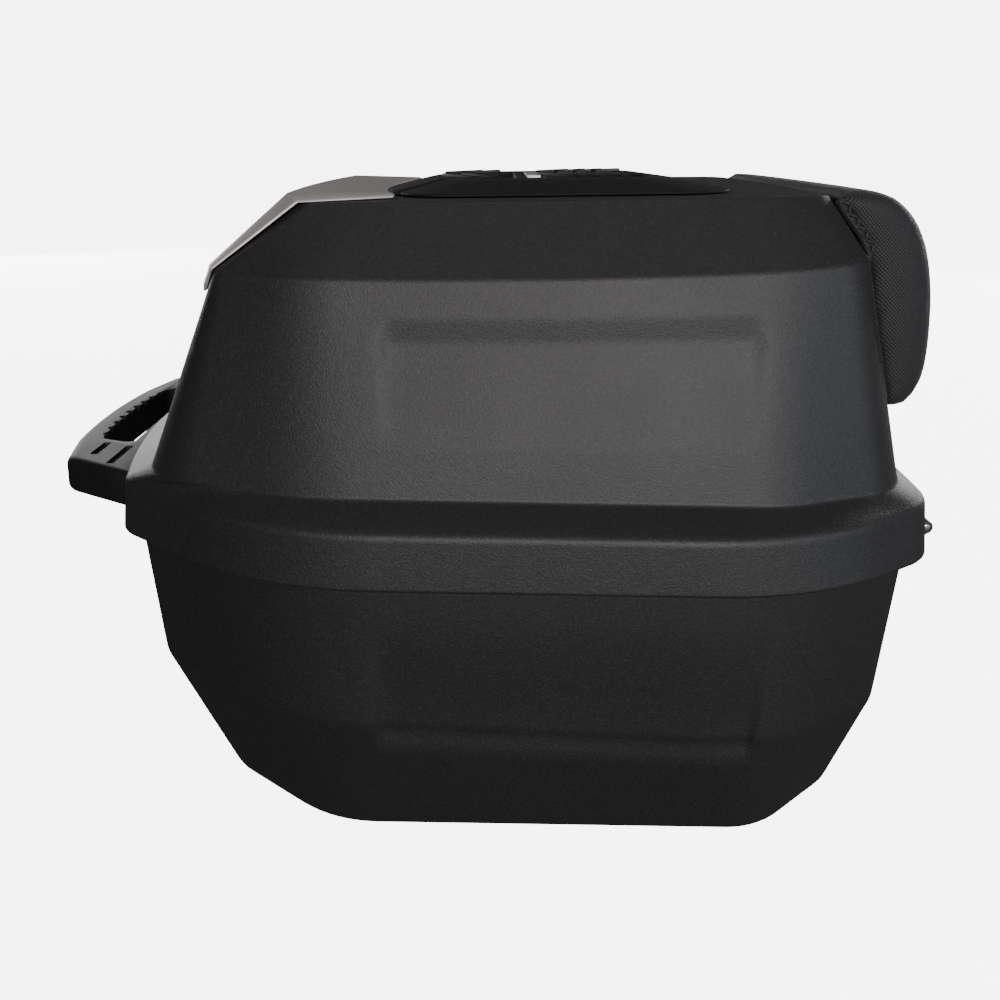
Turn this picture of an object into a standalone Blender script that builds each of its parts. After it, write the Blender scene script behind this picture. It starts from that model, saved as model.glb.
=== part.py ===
"""Hard motorcycle luggage case: a moulded base and a clam-shell lid, with lock, hinges, backrest and quick release.

Metres, +Z up. +X points to the motorcycle's front, where the hinges and the backrest are, and -X to the rear,
where the carry handle and the lock are. The origin is the centre of the base's flat underside, which seats on
the carrier plate. The case is symmetric about the plane Y = 0, apart from its lock and its springs.
"""

import math

import bmesh
import bpy
from mathutils import Matrix, Vector

# ---------------------------------------------------------------------------------------------------------
# Driving dimensions. A plan is one closed outline seen from above, given by its half at positive Y:
# (rear X on the centre plane, rear corner, rear shoulder, front shoulder, front corner, front X on the centre
# plane), and each corner is (X, Y, radius).
# ---------------------------------------------------------------------------------------------------------
SKIRT_FOOT_PLAN = (-0.2105, (-0.1910, 0.1430, 0.025), (-0.1044, 0.2110, 0.150),
                   (0.1530, 0.2110, 0.150), (0.2265, 0.1590, 0.038), 0.2320)
SKIRT_TOP_PLAN = (-0.2085, (-0.1895, 0.1407, 0.022), (-0.1034, 0.2105, 0.151),
                  (0.1490, 0.2105, 0.155), (0.2260, 0.1525, 0.040), 0.2310)
LID_FOOT_PLAN = (-0.1890, (-0.1680, 0.1600, 0.045), (-0.0850, 0.1890, 0.150),
                 (0.1500, 0.1895, 0.150), (0.2050, 0.1690, 0.050), 0.2195)
LID_CREASE_PLAN = (-0.1460, (-0.1335, 0.1530, 0.012), (-0.0900, 0.1700, 0.100),
                   (0.1400, 0.1700, 0.100), (0.1835, 0.1530, 0.030), 0.1900)
LID_TOP_PLAN = (-0.1000, (-0.0945, 0.1360, 0.008), (-0.0500, 0.1410, 0.050),
                (0.1350, 0.1410, 0.050), (0.1665, 0.1330, 0.020), 0.1720)
BASE_TOP_PLAN = (-0.2005, (-0.1825, 0.1360, 0.025), (-0.1005, 0.2030, 0.140),
                 (0.1470, 0.2030, 0.140), (0.2185, 0.1475, 0.036), 0.2235)
BASE_CREASE_PLAN = (-0.1930, (-0.1750, 0.1310, 0.028), (-0.0950, 0.1950, 0.130),
                    (0.1420, 0.1950, 0.130), (0.2125, 0.1420, 0.035), 0.2165)
BASE_FOOT_PLAN = (-0.1500, (-0.1400, 0.1120, 0.030), (-0.0800, 0.1620, 0.080),
                  (0.1370, 0.1620, 0.060), (0.1960, 0.1080, 0.035), 0.2030)

WALL = 0.003
GAP = 0.0004
SKIRT_FOOT_Z = 0.161
SKIRT_TOP_Z = 0.189
LID_FOOT_Z = 0.198
BASE_RIM_Z = 0.180
BASE_EDGE = 0.005
LID_PANEL_X = (-0.0530, -0.0460, 0.1225, 0.1310)
BASE_PANEL_X = (-0.0555, -0.0490, 0.1310, 0.1380)
PANEL_DEPTH = 0.0045

HINGE_X = 0.243
HINGE_Z = 0.159
HINGE_PIN_R = 0.0022
HINGE_BORE_R = 0.0023
KNUCKLE_R = 0.0038
HINGE_BASE_Y = ((0.070, 0.078), (0.104, 0.112))
HINGE_LID_Y = (0.0785, 0.1035)

HANDLE_Z = (0.1660, 0.1865)
HANDLE_SCREW_Y = (0.076, 0.107)
HANDLE_SCREW_Z = 0.1715

LOCK_Z = 0.134
PLUNGER_R = 0.008
BARREL_R = 0.0058
LEVER_PIVOT = (-0.179, 0.112)
LEVER_HALF = 0.006
LATCH_COVER_HALF = 0.024

SEGMENTS_CORNER = 5
SEGMENTS_SHOULDER = 5
ROUND = 24

BLACK = ((0.018, 0.018, 0.019), 0.55, 0.0)
RUBBER = ((0.012, 0.012, 0.012), 0.85, 0.0)
SILVER = ((0.62, 0.61, 0.58), 0.35, 0.6)
STEEL = ((0.62, 0.63, 0.65), 0.28, 1.0)
ZINC = ((0.45, 0.46, 0.48), 0.40, 1.0)
WEAVE = ((0.030, 0.030, 0.032), 0.90, 0.0)


# ---------------------------------------------------------------------------------------------------------
# Scene helpers
# ---------------------------------------------------------------------------------------------------------
def clear_scene():
    """Remove every object of the scene."""
    for obj in list(bpy.data.objects):
        bpy.data.objects.remove(obj, do_unlink=True)


def new_collection(name, hidden=False):
    """Make a collection under the scene's own."""
    made = bpy.data.collections.new(name)
    bpy.context.scene.collection.children.link(made)
    made.hide_render = hidden
    return made


clear_scene()
PARTS = new_collection("hard_luggage_case")
CUTTERS = new_collection("cutters", hidden=True)


def material(name, look):
    """A Principled material from (colour, roughness, metallic)."""
    colour, roughness, metallic = look
    made = bpy.data.materials.new(name)
    made.use_nodes = True
    shader = made.node_tree.nodes["Principled BSDF"]
    shader.inputs["Base Color"].default_value = (*colour, 1.0)
    shader.inputs["Roughness"].default_value = roughness
    shader.inputs["Metallic"].default_value = metallic
    made.diffuse_color = (*colour, 1.0)
    return made


def add_object(name, mesh, look=None, origin=(0.0, 0.0, 0.0)):
    """Link a mesh as a part with its own material, or as a hidden cutter when it has no look."""
    if any(origin):
        mesh.transform(Matrix.Translation(-Vector(origin)))
    made = bpy.data.objects.new(name, mesh)
    made.location = origin
    if look is None:
        CUTTERS.objects.link(made)
        made.hide_render = True
        made.display_type = "WIRE"
    else:
        PARTS.objects.link(made)
        mesh.materials.append(material(name, look))
    return made


def mesh_from(work, name, smooth_angle=None):
    """Turn a bmesh into a mesh with its faces pointing out."""
    bmesh.ops.recalc_face_normals(work, faces=work.faces)
    mesh = bpy.data.meshes.new(name)
    work.to_mesh(mesh)
    work.free()
    if smooth_angle is not None:
        mesh.shade_smooth()
        mesh.set_sharp_from_angle(angle=smooth_angle)
    return mesh


def boolean(target, tool, operation="DIFFERENCE"):
    """Cut or join one object with a hidden one."""
    step = target.modifiers.new(f"{operation.lower()}_{tool.name}", "BOOLEAN")
    step.operation = operation
    step.object = tool
    step.solver = "EXACT"


def bevel(target, width, segments=2, angle=40.0):
    """Round the sharp edges of an object."""
    step = target.modifiers.new("rounded_edges", "BEVEL")
    step.width = width
    step.segments = segments
    step.limit_method = "ANGLE"
    step.angle_limit = math.radians(angle)


# ---------------------------------------------------------------------------------------------------------
# Shape helpers
# ---------------------------------------------------------------------------------------------------------
def box(name, low, high, look=None):
    """A block between two corners."""
    work = bmesh.new()
    size = [b - a for a, b in zip(low, high)]
    middle = [(a + b) / 2 for a, b in zip(low, high)]
    bmesh.ops.create_cube(work, size=1.0)
    bmesh.ops.scale(work, vec=size, verts=work.verts)
    bmesh.ops.translate(work, vec=middle, verts=work.verts)
    return add_object(name, mesh_from(work, name), look)


def add_cylinder(work, start, end, radius, sides=ROUND):
    """Add a capped cylinder between two points to a bmesh."""
    start, end = Vector(start), Vector(end)
    run = end - start
    turn = run.to_track_quat("Z", "Y").to_matrix().to_4x4()
    place = Matrix.Translation((start + end) / 2) @ turn
    bmesh.ops.create_cone(work, cap_ends=True, segments=sides, radius1=radius, radius2=radius,
                          depth=run.length, matrix=place)


def cylinder(name, start, end, radius, look=None, sides=ROUND):
    """A capped cylinder between two points."""
    work = bmesh.new()
    add_cylinder(work, start, end, radius, sides)
    return add_object(name, mesh_from(work, name, math.radians(35)), look)


def prism(name, outline, axis, low, high, look=None):
    """A flat outline pushed along Y (points are X, Z) or along Z (points are X, Y)."""
    work = bmesh.new()
    if axis == "Y":
        corners = [work.verts.new((x, low, z)) for x, z in outline]
        push = (0.0, high - low, 0.0)
    else:
        corners = [work.verts.new((x, y, low)) for x, y in outline]
        push = (0.0, 0.0, high - low)
    face = work.faces.new(corners)
    pushed = bmesh.ops.extrude_face_region(work, geom=[face])
    moved = [item for item in pushed["geom"] if isinstance(item, bmesh.types.BMVert)]
    bmesh.ops.translate(work, vec=push, verts=moved)
    return add_object(name, mesh_from(work, name), look)


def arc(centre, radius, start_deg, end_deg, steps):
    """Points on an arc, both ends included."""
    turn = [math.radians(start_deg + (end_deg - start_deg) * i / steps) for i in range(steps + 1)]
    return [(centre[0] + radius * math.cos(a), centre[1] + radius * math.sin(a)) for a in turn]


def fillet(before, corner, after, radius, steps):
    """The arc that replaces a corner between its two neighbours."""
    corner = Vector(corner)
    to_before = (Vector(before) - corner).normalized()
    to_after = (Vector(after) - corner).normalized()
    half = to_before.angle(to_after) / 2
    reach = radius / math.tan(half)
    centre = corner + (to_before + to_after).normalized() * radius / math.sin(half)
    first = corner + to_before * reach - centre
    last = corner + to_after * reach - centre
    start = math.atan2(first.y, first.x)
    sweep = (math.atan2(last.y, last.x) - start + math.pi) % (2 * math.pi) - math.pi
    angles = [start + sweep * i / steps for i in range(steps + 1)]
    return [(centre.x + radius * math.cos(a), centre.y + radius * math.sin(a)) for a in angles]


def rear_x(plan, y):
    """X of a plan's bowed rear line at a distance y from the centre plane."""
    return plan[0] + (plan[1][0] - plan[0]) * (y / plan[1][1]) ** 2


def front_x(plan, y):
    """X of a plan's bowed front line at a distance y from the centre plane."""
    return plan[5] + (plan[4][0] - plan[5]) * (y / plan[4][1]) ** 2


def height_on(line, x):
    """Y of a line of points, sorted by X, at one X."""
    for (x0, y0), (x1, y1) in zip(line, line[1:]):
        if x <= x1:
            return y0 + (y1 - y0) * (x - x0) / (x1 - x0)
    return line[-1][1]


def plan_half(plan, panel_x):
    """Points of a plan's half at positive Y, from the rear to the front, with four points beside the panel."""
    corner_r, shoulder_r, shoulder_f, corner_f = plan[1:5]
    bow = 0.45
    rear_mid = (rear_x(plan, corner_r[1] * bow), corner_r[1] * bow)
    front_mid = (front_x(plan, corner_f[1] * bow), corner_f[1] * bow)
    rear = fillet(rear_mid, corner_r[:2], shoulder_r[:2], corner_r[2], SEGMENTS_CORNER)
    front = fillet(shoulder_f[:2], corner_f[:2], front_mid, corner_f[2], SEGMENTS_CORNER)
    side = [rear[-1]]
    side += fillet(corner_r[:2], shoulder_r[:2], shoulder_f[:2], shoulder_r[2], 12)
    side += fillet(shoulder_r[:2], shoulder_f[:2], corner_f[:2], shoulder_f[2], 12)
    side.append(front[0])
    shares = [step / SEGMENTS_SHOULDER for step in range(1, SEGMENTS_SHOULDER)]
    columns = [rear[-1][0] + (panel_x[0] - rear[-1][0]) * share for share in shares] + list(panel_x)
    columns += [panel_x[3] + (front[0][0] - panel_x[3]) * share for share in shares]
    points = [(plan[0], 0.0), rear_mid] + rear + [(x, height_on(side, x)) for x in columns]
    return points + front + [front_mid, (plan[5], 0.0)]


def chord_x(plan, y, front=False):
    """X of a plan's end line at a distance y from the centre plane, on the flats that the skin is made of."""
    middle, (corner_x, corner_y) = (plan[5], plan[4][:2]) if front else (plan[0], plan[1][:2])
    mid_y = corner_y * 0.45
    mid_x = middle + (corner_x - middle) * 0.45 ** 2
    if y < mid_y:
        return middle + (mid_x - middle) * y / mid_y
    return mid_x + (corner_x - mid_x) * (y - mid_y) / (corner_y - mid_y)


def plan_ring(plan, height, panel_x):
    """A plan's half as 3-D points, at a height or at a height that varies with X."""
    return [(x, y, height(x) if callable(height) else height) for x, y in plan_half(plan, panel_x)]


def between(low, high, share):
    """A ring part of the way from one ring to another."""
    return [tuple(a + (b - a) * share for a, b in zip(p, q)) for p, q in zip(low, high)]


def sunk(ring, depth, first):
    """A ring whose two points inside the panel are pushed in towards the centre plane."""
    moved = [list(point) for point in ring]
    for index in (first + 1, first + 2):
        moved[index][1] -= depth
    return [tuple(point) for point in moved]


def inset(ring, distance):
    """A half ring moved inwards, each point along the bisector of its two sides."""
    mirrored = [(ring[1][0], -ring[1][1], ring[1][2])] + list(ring) + [(ring[-2][0], -ring[-2][1], ring[-2][2])]
    moved = []
    for before, point, after in zip(mirrored, ring, mirrored[2:]):
        a = (Vector(point).xy - Vector(before).xy).normalized()
        b = (Vector(after).xy - Vector(point).xy).normalized()
        normal = Vector((a.y + b.y, -a.x - b.x)).normalized()
        scale = distance / max(0.5, normal.dot(Vector((a.y, -a.x))))
        moved.append((point[0] + normal.x * scale, point[1] + normal.y * scale, point[2]))
    return moved


def both_halves(half):
    """The closed ring made of a half ring and its mirror image."""
    return list(half) + [(x, -y, z) for x, y, z in reversed(half[1:-1])]


def loft(name, halves, closed=False, cap_first=False, cap_last=False):
    """A skin through half rings and their mirror images, closed on itself or capped where asked."""
    work = bmesh.new()
    rings = [[work.verts.new(point) for point in both_halves(half)] for half in halves]
    pairs = list(zip(rings, rings[1:])) + ([(rings[-1], rings[0])] if closed else [])
    for low, high in pairs:
        for i in range(len(low)):
            j = (i + 1) % len(low)
            work.faces.new((low[i], low[j], high[j], high[i]))
    if cap_first:
        work.faces.new(rings[0])
    if cap_last:
        work.faces.new(rings[-1])
    return mesh_from(work, name)


def shell(name, halves, look, cap):
    """A moulded shell: an open skin through rings, capped at its last ring, thickened inwards."""
    made = add_object(name, loft(name, halves, cap_last=cap), look)
    step = made.modifiers.new("wall", "SOLIDIFY")
    step.thickness = WALL
    step.offset = -1.0
    step.use_even_offset = True
    return made


def screw(name, head, direction, length, shank_r=0.0016, head_r=0.0034, head_h=0.0020):
    """A pan-head screw: head is the centre of the bearing face, and direction the way that the shank runs."""
    head, direction = Vector(head), Vector(direction).normalized()
    work = bmesh.new()
    add_cylinder(work, head - direction * head_h, head, head_r, 16)
    made = add_object(name, mesh_from(work, name, math.radians(35)), ZINC)
    shank = cylinder(f"{name}_shank", head - direction * head_h / 2, head + direction * length, shank_r, sides=12)
    boolean(made, shank, "UNION")
    return made


def coil(name, start, end, radius, wire, turns, look):
    """A helical spring along the line between two points, as a bevelled curve."""
    start, end = Vector(start), Vector(end)
    run = end - start
    turn = run.to_track_quat("Z", "Y").to_matrix()
    steps = 12 * turns
    curve = bpy.data.curves.new(name, "CURVE")
    curve.dimensions = "3D"
    curve.bevel_depth = wire
    curve.bevel_resolution = 1
    curve.use_fill_caps = True
    spline = curve.splines.new("POLY")
    spline.points.add(steps)
    for i, point in enumerate(spline.points):
        angle = 2 * math.pi * turns * i / steps
        local = Vector((radius * math.cos(angle), radius * math.sin(angle), run.length * i / steps))
        point.co = (*(start + turn @ local), 1.0)
    curve.materials.append(material(name, look))
    made = bpy.data.objects.new(name, curve)
    PARTS.objects.link(made)
    return made


# ---------------------------------------------------------------------------------------------------------
# Heights that vary along the case
# ---------------------------------------------------------------------------------------------------------
def lid_crease_z(x):
    """Height of the lid's crease, which rises a little towards the front."""
    return 0.2998 + 0.025 * x + 0.15 * x * x


def lid_top_z(x):
    """Height of the lid's flat top, a plane that rises towards the front."""
    return 0.3343 + 0.030 * x


def base_crease_z(x):
    """Height of the base's crease, which falls a little towards the front."""
    return 0.0799 - 0.0355 * x


# ---------------------------------------------------------------------------------------------------------
# Shells
# ---------------------------------------------------------------------------------------------------------
def hinge_bore(side):
    """The pin's clearance hole through one hinge."""
    return cylinder(f"hinge_bore_{side:+d}", (HINGE_X, side * 0.066, HINGE_Z),
                    (HINGE_X, side * 0.116, HINGE_Z), HINGE_BORE_R)


def make_base_shell():
    """The base: sloped walls, a sunk panel on each side, hinge lugs, hook pockets and the lock's openings."""
    first = 2 + SEGMENTS_CORNER + SEGMENTS_SHOULDER
    rim = plan_ring(BASE_TOP_PLAN, BASE_RIM_Z, BASE_PANEL_X)
    edge = plan_ring(BASE_TOP_PLAN, SKIRT_FOOT_Z, BASE_PANEL_X)
    crease = plan_ring(BASE_CREASE_PLAN, base_crease_z, BASE_PANEL_X)
    foot = plan_ring(BASE_FOOT_PLAN, 0.0, BASE_PANEL_X)
    low_edge = between(crease, foot, 0.936)
    halves = [rim, edge, between(edge, crease, 0.36), sunk(crease, PANEL_DEPTH, first),
              between(crease, foot, 0.21), low_edge, inset(foot, 0.003)]
    base = shell("base_shell", halves, BLACK, cap=True)

    lug = [(0.2190, 0.1603), (HINGE_X - 0.0030, 0.1603)] + arc((HINGE_X, HINGE_Z), KNUCKLE_R, 110, -70, 12)
    lug.append((0.2178, 0.1390))
    for side in (-1, 1):
        for index, (near, far) in enumerate(HINGE_BASE_Y):
            low, high = sorted((side * near, side * far))
            boolean(base, prism(f"base_lug_{side:+d}_{index}", lug, "Y", low, high), "UNION")
        pocket = box(f"hook_block_{side:+d}", (0.098, side * 0.075 - 0.023, 0.001),
                     (0.124, side * 0.075 + 0.023, 0.0160))
        boolean(base, pocket, "UNION")
    for side in (-1, 1):
        boolean(base, hinge_bore(side))
        cavity = box(f"hook_pocket_{side:+d}", (0.102, side * 0.075 - 0.019, -0.004),
                     (0.120, side * 0.075 + 0.019, 0.0125))
        boolean(base, cavity)
        for index, y in enumerate(HANDLE_SCREW_Y):
            hole = cylinder(f"handle_hole_{side:+d}_{index}", (-0.215, side * y, HANDLE_SCREW_Z),
                            (-0.170, side * y, HANDLE_SCREW_Z), 0.0020, sides=12)
            boolean(base, hole)
        hole = cylinder(f"lock_hole_{side:+d}", (-0.215, side * 0.029, 0.120), (-0.170, side * 0.029, 0.120),
                        0.0019, sides=12)
        boolean(base, hole)
        for x in (-0.130, -0.095):
            hole = cylinder(f"release_hole_{side:+d}_{x:.3f}", (x, side * 0.0355, 0.0012),
                            (x, side * 0.0355, 0.0060), 0.0019, sides=12)
            boolean(base, hole)
    boolean(base, cylinder("plunger_hole", (-0.215, 0.0, LOCK_Z), (-0.185, 0.0, LOCK_Z), PLUNGER_R + 0.0010))
    boolean(base, box("tongue_window", (-0.1250, -0.0200, -0.004), (-0.0820, 0.0200, 0.006)))
    boolean(base, box("release_window", (-0.185, -0.0213, 0.0120), (-0.1400, 0.0213, 0.0325)))
    return base


def make_lid_shell():
    """The lid: skirt, ledge, leaning walls with a sunk panel, sloped upper facets, flat top, and hinge lugs."""
    first = 2 + SEGMENTS_CORNER + SEGMENTS_SHOULDER
    skirt_foot = plan_ring(SKIRT_FOOT_PLAN, SKIRT_FOOT_Z, LID_PANEL_X)
    skirt_top = plan_ring(SKIRT_TOP_PLAN, SKIRT_TOP_Z, LID_PANEL_X)
    foot = plan_ring(LID_FOOT_PLAN, LID_FOOT_Z, LID_PANEL_X)
    crease = plan_ring(LID_CREASE_PLAN, lid_crease_z, LID_PANEL_X)
    top = plan_ring(LID_TOP_PLAN, lid_top_z, LID_PANEL_X)
    halves = [skirt_foot, skirt_top, foot, between(foot, crease, 0.265),
              sunk(between(foot, crease, 0.725), PANEL_DEPTH, first), between(foot, crease, 0.83), crease, top]
    lid = shell("lid_shell", halves, BLACK, cap=True)
    lid.data.transform(Matrix.Translation((-HINGE_X, 0.0, -HINGE_Z)))
    lid.location = (HINGE_X, 0.0, HINGE_Z)

    lug = [(0.2284, 0.1775), (0.2325, 0.1775)] + arc((HINGE_X, HINGE_Z), KNUCKLE_R, 50, -150, 14)
    lug += [(0.2325, 0.1612), (0.2284, 0.1612)]
    for side in (-1, 1):
        low, high = sorted((side * HINGE_LID_Y[0], side * HINGE_LID_Y[1]))
        boolean(lid, prism(f"lid_lug_{side:+d}", lug, "Y", low, high), "UNION")
    boss = box("striker_boss", (-0.1944, -0.018, 0.1862), (-0.1845, 0.018, 0.1938))
    boolean(lid, boss, "UNION")
    for side in (-1, 1):
        boolean(lid, hinge_bore(side))
        hole = cylinder(f"striker_hole_{side:+d}", (-0.1915, side * 0.0125, 0.1800),
                        (-0.1915, side * 0.0125, 0.1930), 0.0018, sides=12)
        boolean(lid, hole)
    notch = box("handle_notch", (-0.270, -0.1300, 0.150), (-0.1800, 0.1300, 0.1868))
    keep = box("boss_keep", (-0.1945, -0.019, 0.1400), (-0.170, 0.019, 0.1940))
    boolean(notch, keep)
    boolean(lid, notch)
    for index, (x, y) in enumerate(TOP_SCREWS):
        boolean(lid, cylinder(f"top_hole_{index}", (x, y, 0.325), (x, y, 0.350), 0.0020, sides=12))
    for index, (x, y) in enumerate(TRIM_SCREWS):
        boolean(lid, cylinder(f"trim_hole_{index}", (x, y, 0.325), (x, y, 0.350), 0.0020, sides=12))
    for index, (head, way) in enumerate(backrest_screw_places()):
        boolean(lid, cylinder(f"backrest_hole_{index}", head - way * 0.006, head + way * 0.012, 0.0020, sides=12))
    return lid


def make_rim_seal():
    """The rubber seal between the base's rim and the lid's ledge."""
    rim = plan_ring(BASE_TOP_PLAN, 0.0, LID_PANEL_X)
    outer, inner = rim, inset(rim, 0.0045)
    section = [(outer, BASE_RIM_Z + GAP), (inner, BASE_RIM_Z + GAP), (inner, 0.1888), (outer, 0.1868)]
    halves = [[(x, y, z) for x, y, _ in ring] for ring, z in section]
    return add_object("rim_seal", loft("rim_seal", halves, closed=True), RUBBER)


# ---------------------------------------------------------------------------------------------------------
# Carry handle and hinge pins
# ---------------------------------------------------------------------------------------------------------
def handle_outline():
    """The handle's outer edge, from the root on one side round the grip to the root on the other."""
    root = [(chord_x(BASE_TOP_PLAN, y) - GAP, y) for y in (0.0, 0.0612, 0.1255)]
    half = root + [(-0.1925, 0.1250)]
    half += fillet((-0.1925, 0.1250), (-0.2375, 0.0985), (-0.2455, 0.0650), 0.014, 4)
    half += [(-0.2462, 0.0600), (-0.2485, 0.0350), (-0.2500, 0.0)]
    return half + [(x, -y) for x, y in reversed(half[1:-1])]


def finger_outline():
    """The finger opening between the grip and the root bar."""
    half = [(-0.2105, 0.0)]
    half += fillet((-0.2105, 0.0), (-0.2100, 0.0670), (-0.2290, 0.0640), 0.004, 3)
    half += fillet((-0.2100, 0.0670), (-0.2310, 0.0610), (-0.2340, 0.0350), 0.008, 3)
    half += [(-0.2340, 0.0350), (-0.2350, 0.0)]
    return half + [(x, -y) for x, y in reversed(half[1:-1])]


def make_handle():
    """The carry handle: a flat moulding, bolted from inside through the base's rear wall."""
    handle = prism("handle", handle_outline(), "Z", *HANDLE_Z, look=BLACK)
    opening = prism("finger_opening", finger_outline(), "Z", HANDLE_Z[0] - 0.004, HANDLE_Z[1] + 0.004)
    boolean(handle, opening)
    for side in (-1, 1):
        for index, y in enumerate(HANDLE_SCREW_Y):
            wall_x = chord_x(BASE_TOP_PLAN, y)
            hole = cylinder(f"handle_bore_{side:+d}_{index}", (wall_x - 0.014, side * y, HANDLE_SCREW_Z),
                            (wall_x + 0.004, side * y, HANDLE_SCREW_Z), 0.0020, sides=12)
            boolean(handle, hole)
    bevel(handle, 0.0025, segments=2, angle=50)
    return handle


def make_handle_screws():
    """Four screws that hold the handle, with their heads inside the base."""
    for side in (-1, 1):
        for index, y in enumerate(HANDLE_SCREW_Y):
            wall_x = chord_x(BASE_TOP_PLAN, y) + WALL + 0.0012
            name = f"handle_screw_{'left' if side > 0 else 'right'}_{index + 1}"
            screw(name, (wall_x, side * y, HANDLE_SCREW_Z), (-1, 0, 0), 0.014, 0.0016, 0.0038, 0.0024)


def make_hinge_pins():
    """One steel pin through the knuckles of each hinge."""
    for side, name in ((-1, "hinge_pin_right"), (1, "hinge_pin_left")):
        cylinder(name, (HINGE_X, side * 0.0695, HINGE_Z), (HINGE_X, side * 0.1125, HINGE_Z), HINGE_PIN_R, STEEL)


# ---------------------------------------------------------------------------------------------------------
# Lid lock: a press button with a key barrel, a lever inside the base, and a striker on the lid
# ---------------------------------------------------------------------------------------------------------
def make_lock_housing():
    """The housing on the base's rear wall, with the button's pocket."""
    half = 0.036
    wall = [(rear_x(BASE_TOP_PLAN, 0) - GAP, 0.1595), (rear_x(BASE_TOP_PLAN, 0) + 0.0053, 0.098)]
    outline = [wall[0], (-0.2095, 0.1595), (-0.2135, 0.1555), (-0.2135, 0.106), (-0.2060, 0.098), wall[1]]
    housing = prism("lock_housing", outline, "Y", -half, half, BLACK)
    boolean(housing, box("button_pocket", (-0.2300, -0.0206, LOCK_Z - 0.0136), (-0.2010, 0.0206, LOCK_Z + 0.0136)))
    boolean(housing, cylinder("housing_plunger_hole", (-0.210, 0.0, LOCK_Z), (-0.185, 0.0, LOCK_Z),
                              PLUNGER_R + 0.0010))
    for side in (-1, 1):
        hole = cylinder(f"housing_screw_hole_{side:+d}", (-0.2085, side * 0.029, 0.120),
                        (-0.185, side * 0.029, 0.120), 0.0019, sides=12)
        boolean(housing, hole)
    return housing


def make_lid_button():
    """The press button and its hollow plunger, which carry the key barrel."""
    button = box("lid_button", (-0.2138, -0.0202, LOCK_Z - 0.0132), (-0.2065, 0.0202, LOCK_Z + 0.0132), BLACK)
    boolean(button, cylinder("plunger", (-0.2080, 0.0, LOCK_Z), (-0.1868, 0.0, LOCK_Z), PLUNGER_R), "UNION")
    boolean(button, cylinder("barrel_bore", (-0.2300, 0.0, LOCK_Z), (-0.1800, 0.0, LOCK_Z), BARREL_R + 0.0003))
    return button


def make_lock_barrel():
    """The key barrel with its slot, and the cam on its inner end."""
    barrel = cylinder("lock_barrel", (-0.2144, 0.0, LOCK_Z), (-0.1864, 0.0, LOCK_Z), BARREL_R, ZINC)
    boolean(barrel, box("key_slot", (-0.2200, -0.0007, LOCK_Z - 0.0038), (-0.2080, 0.0007, LOCK_Z + 0.0038)))
    outline = arc((0.0, LOCK_Z), 0.0045, 180, 360, 10) + [(0.0035, 0.150), (-0.0035, 0.150)]
    work = bmesh.new()
    corners = [work.verts.new((-0.1860, y, z)) for y, z in outline]
    pushed = bmesh.ops.extrude_face_region(work, geom=[work.faces.new(corners)])
    moved = [item for item in pushed["geom"] if isinstance(item, bmesh.types.BMVert)]
    bmesh.ops.translate(work, vec=(0.0018, 0.0, 0.0), verts=moved)
    add_object("barrel_cam", mesh_from(work, "barrel_cam"), ZINC)
    return barrel


def make_latch_lever():
    """The lever inside the base: the cam pushes its pad, and its nose holds the lid's striker."""
    x, z = LEVER_PIVOT
    outline = arc((x, z), 0.0050, 210, 330, 6) + [
        (x + 0.0025, z + 0.008), (x + 0.0025, 0.1600), (-0.1830, 0.1600), (-0.1900, 0.1562), (-0.1900, 0.1545),
        (-0.1815, 0.1545), (-0.1815, 0.1510), (-0.1839, 0.1505), (-0.1839, 0.1450), (-0.1815, 0.1440),
        (-0.1815, z + 0.008)]
    lever = prism("latch_lever", outline, "Y", -LEVER_HALF, LEVER_HALF, STEEL)
    boolean(lever, cylinder("lever_bore", (x, -0.02, z), (x, 0.02, z), 0.0021))
    lever.data.transform(Matrix.Translation((-x, 0.0, -z)))
    lever.location = (x, 0.0, z)
    cylinder("latch_pin", (x, -0.0237, z), (x, 0.0237, z), 0.0020, STEEL)
    coil("latch_spring", (x, 0.0070, z), (x, 0.0150, z), 0.0036, 0.0006, 4, STEEL)
    return lever


def make_latch_cover():
    """The cover over the lever inside the base, open at its top for the striker, and its two screws."""
    half = LATCH_COVER_HALF
    side_view = [(-0.1893, 0.0985), (-0.1680, 0.0985), (-0.1680, 0.1620), (-0.1950, 0.1620)]
    cover = prism("latch_cover", side_view, "Y", -half, half, BLACK)
    for side in (-1, 1):
        low, high = sorted((side * (half - 0.001), side * 0.0345))
        boolean(cover, box(f"cover_tab_{side:+d}", (-0.1900, low, 0.112), (-0.1876, high, 0.128)), "UNION")
    boolean(cover, box("cover_cavity", (-0.2000, -half + 0.002, 0.1005), (-0.1700, half - 0.002, 0.1700)))
    boolean(cover, cylinder("cover_pin_bore", (LEVER_PIVOT[0], -0.0238, LEVER_PIVOT[1]),
                            (LEVER_PIVOT[0], 0.0238, LEVER_PIVOT[1]), 0.0021))
    for side in (-1, 1):
        hole = cylinder(f"cover_hole_{side:+d}", (-0.195, side * 0.029, 0.120), (-0.184, side * 0.029, 0.120),
                        0.0019, sides=12)
        boolean(cover, hole)
        name = "lock_screw_left" if side > 0 else "lock_screw_right"
        screw(name, (-0.1872, side * 0.029, 0.120), (-1, 0, 0), 0.0195)
    return cover


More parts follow.
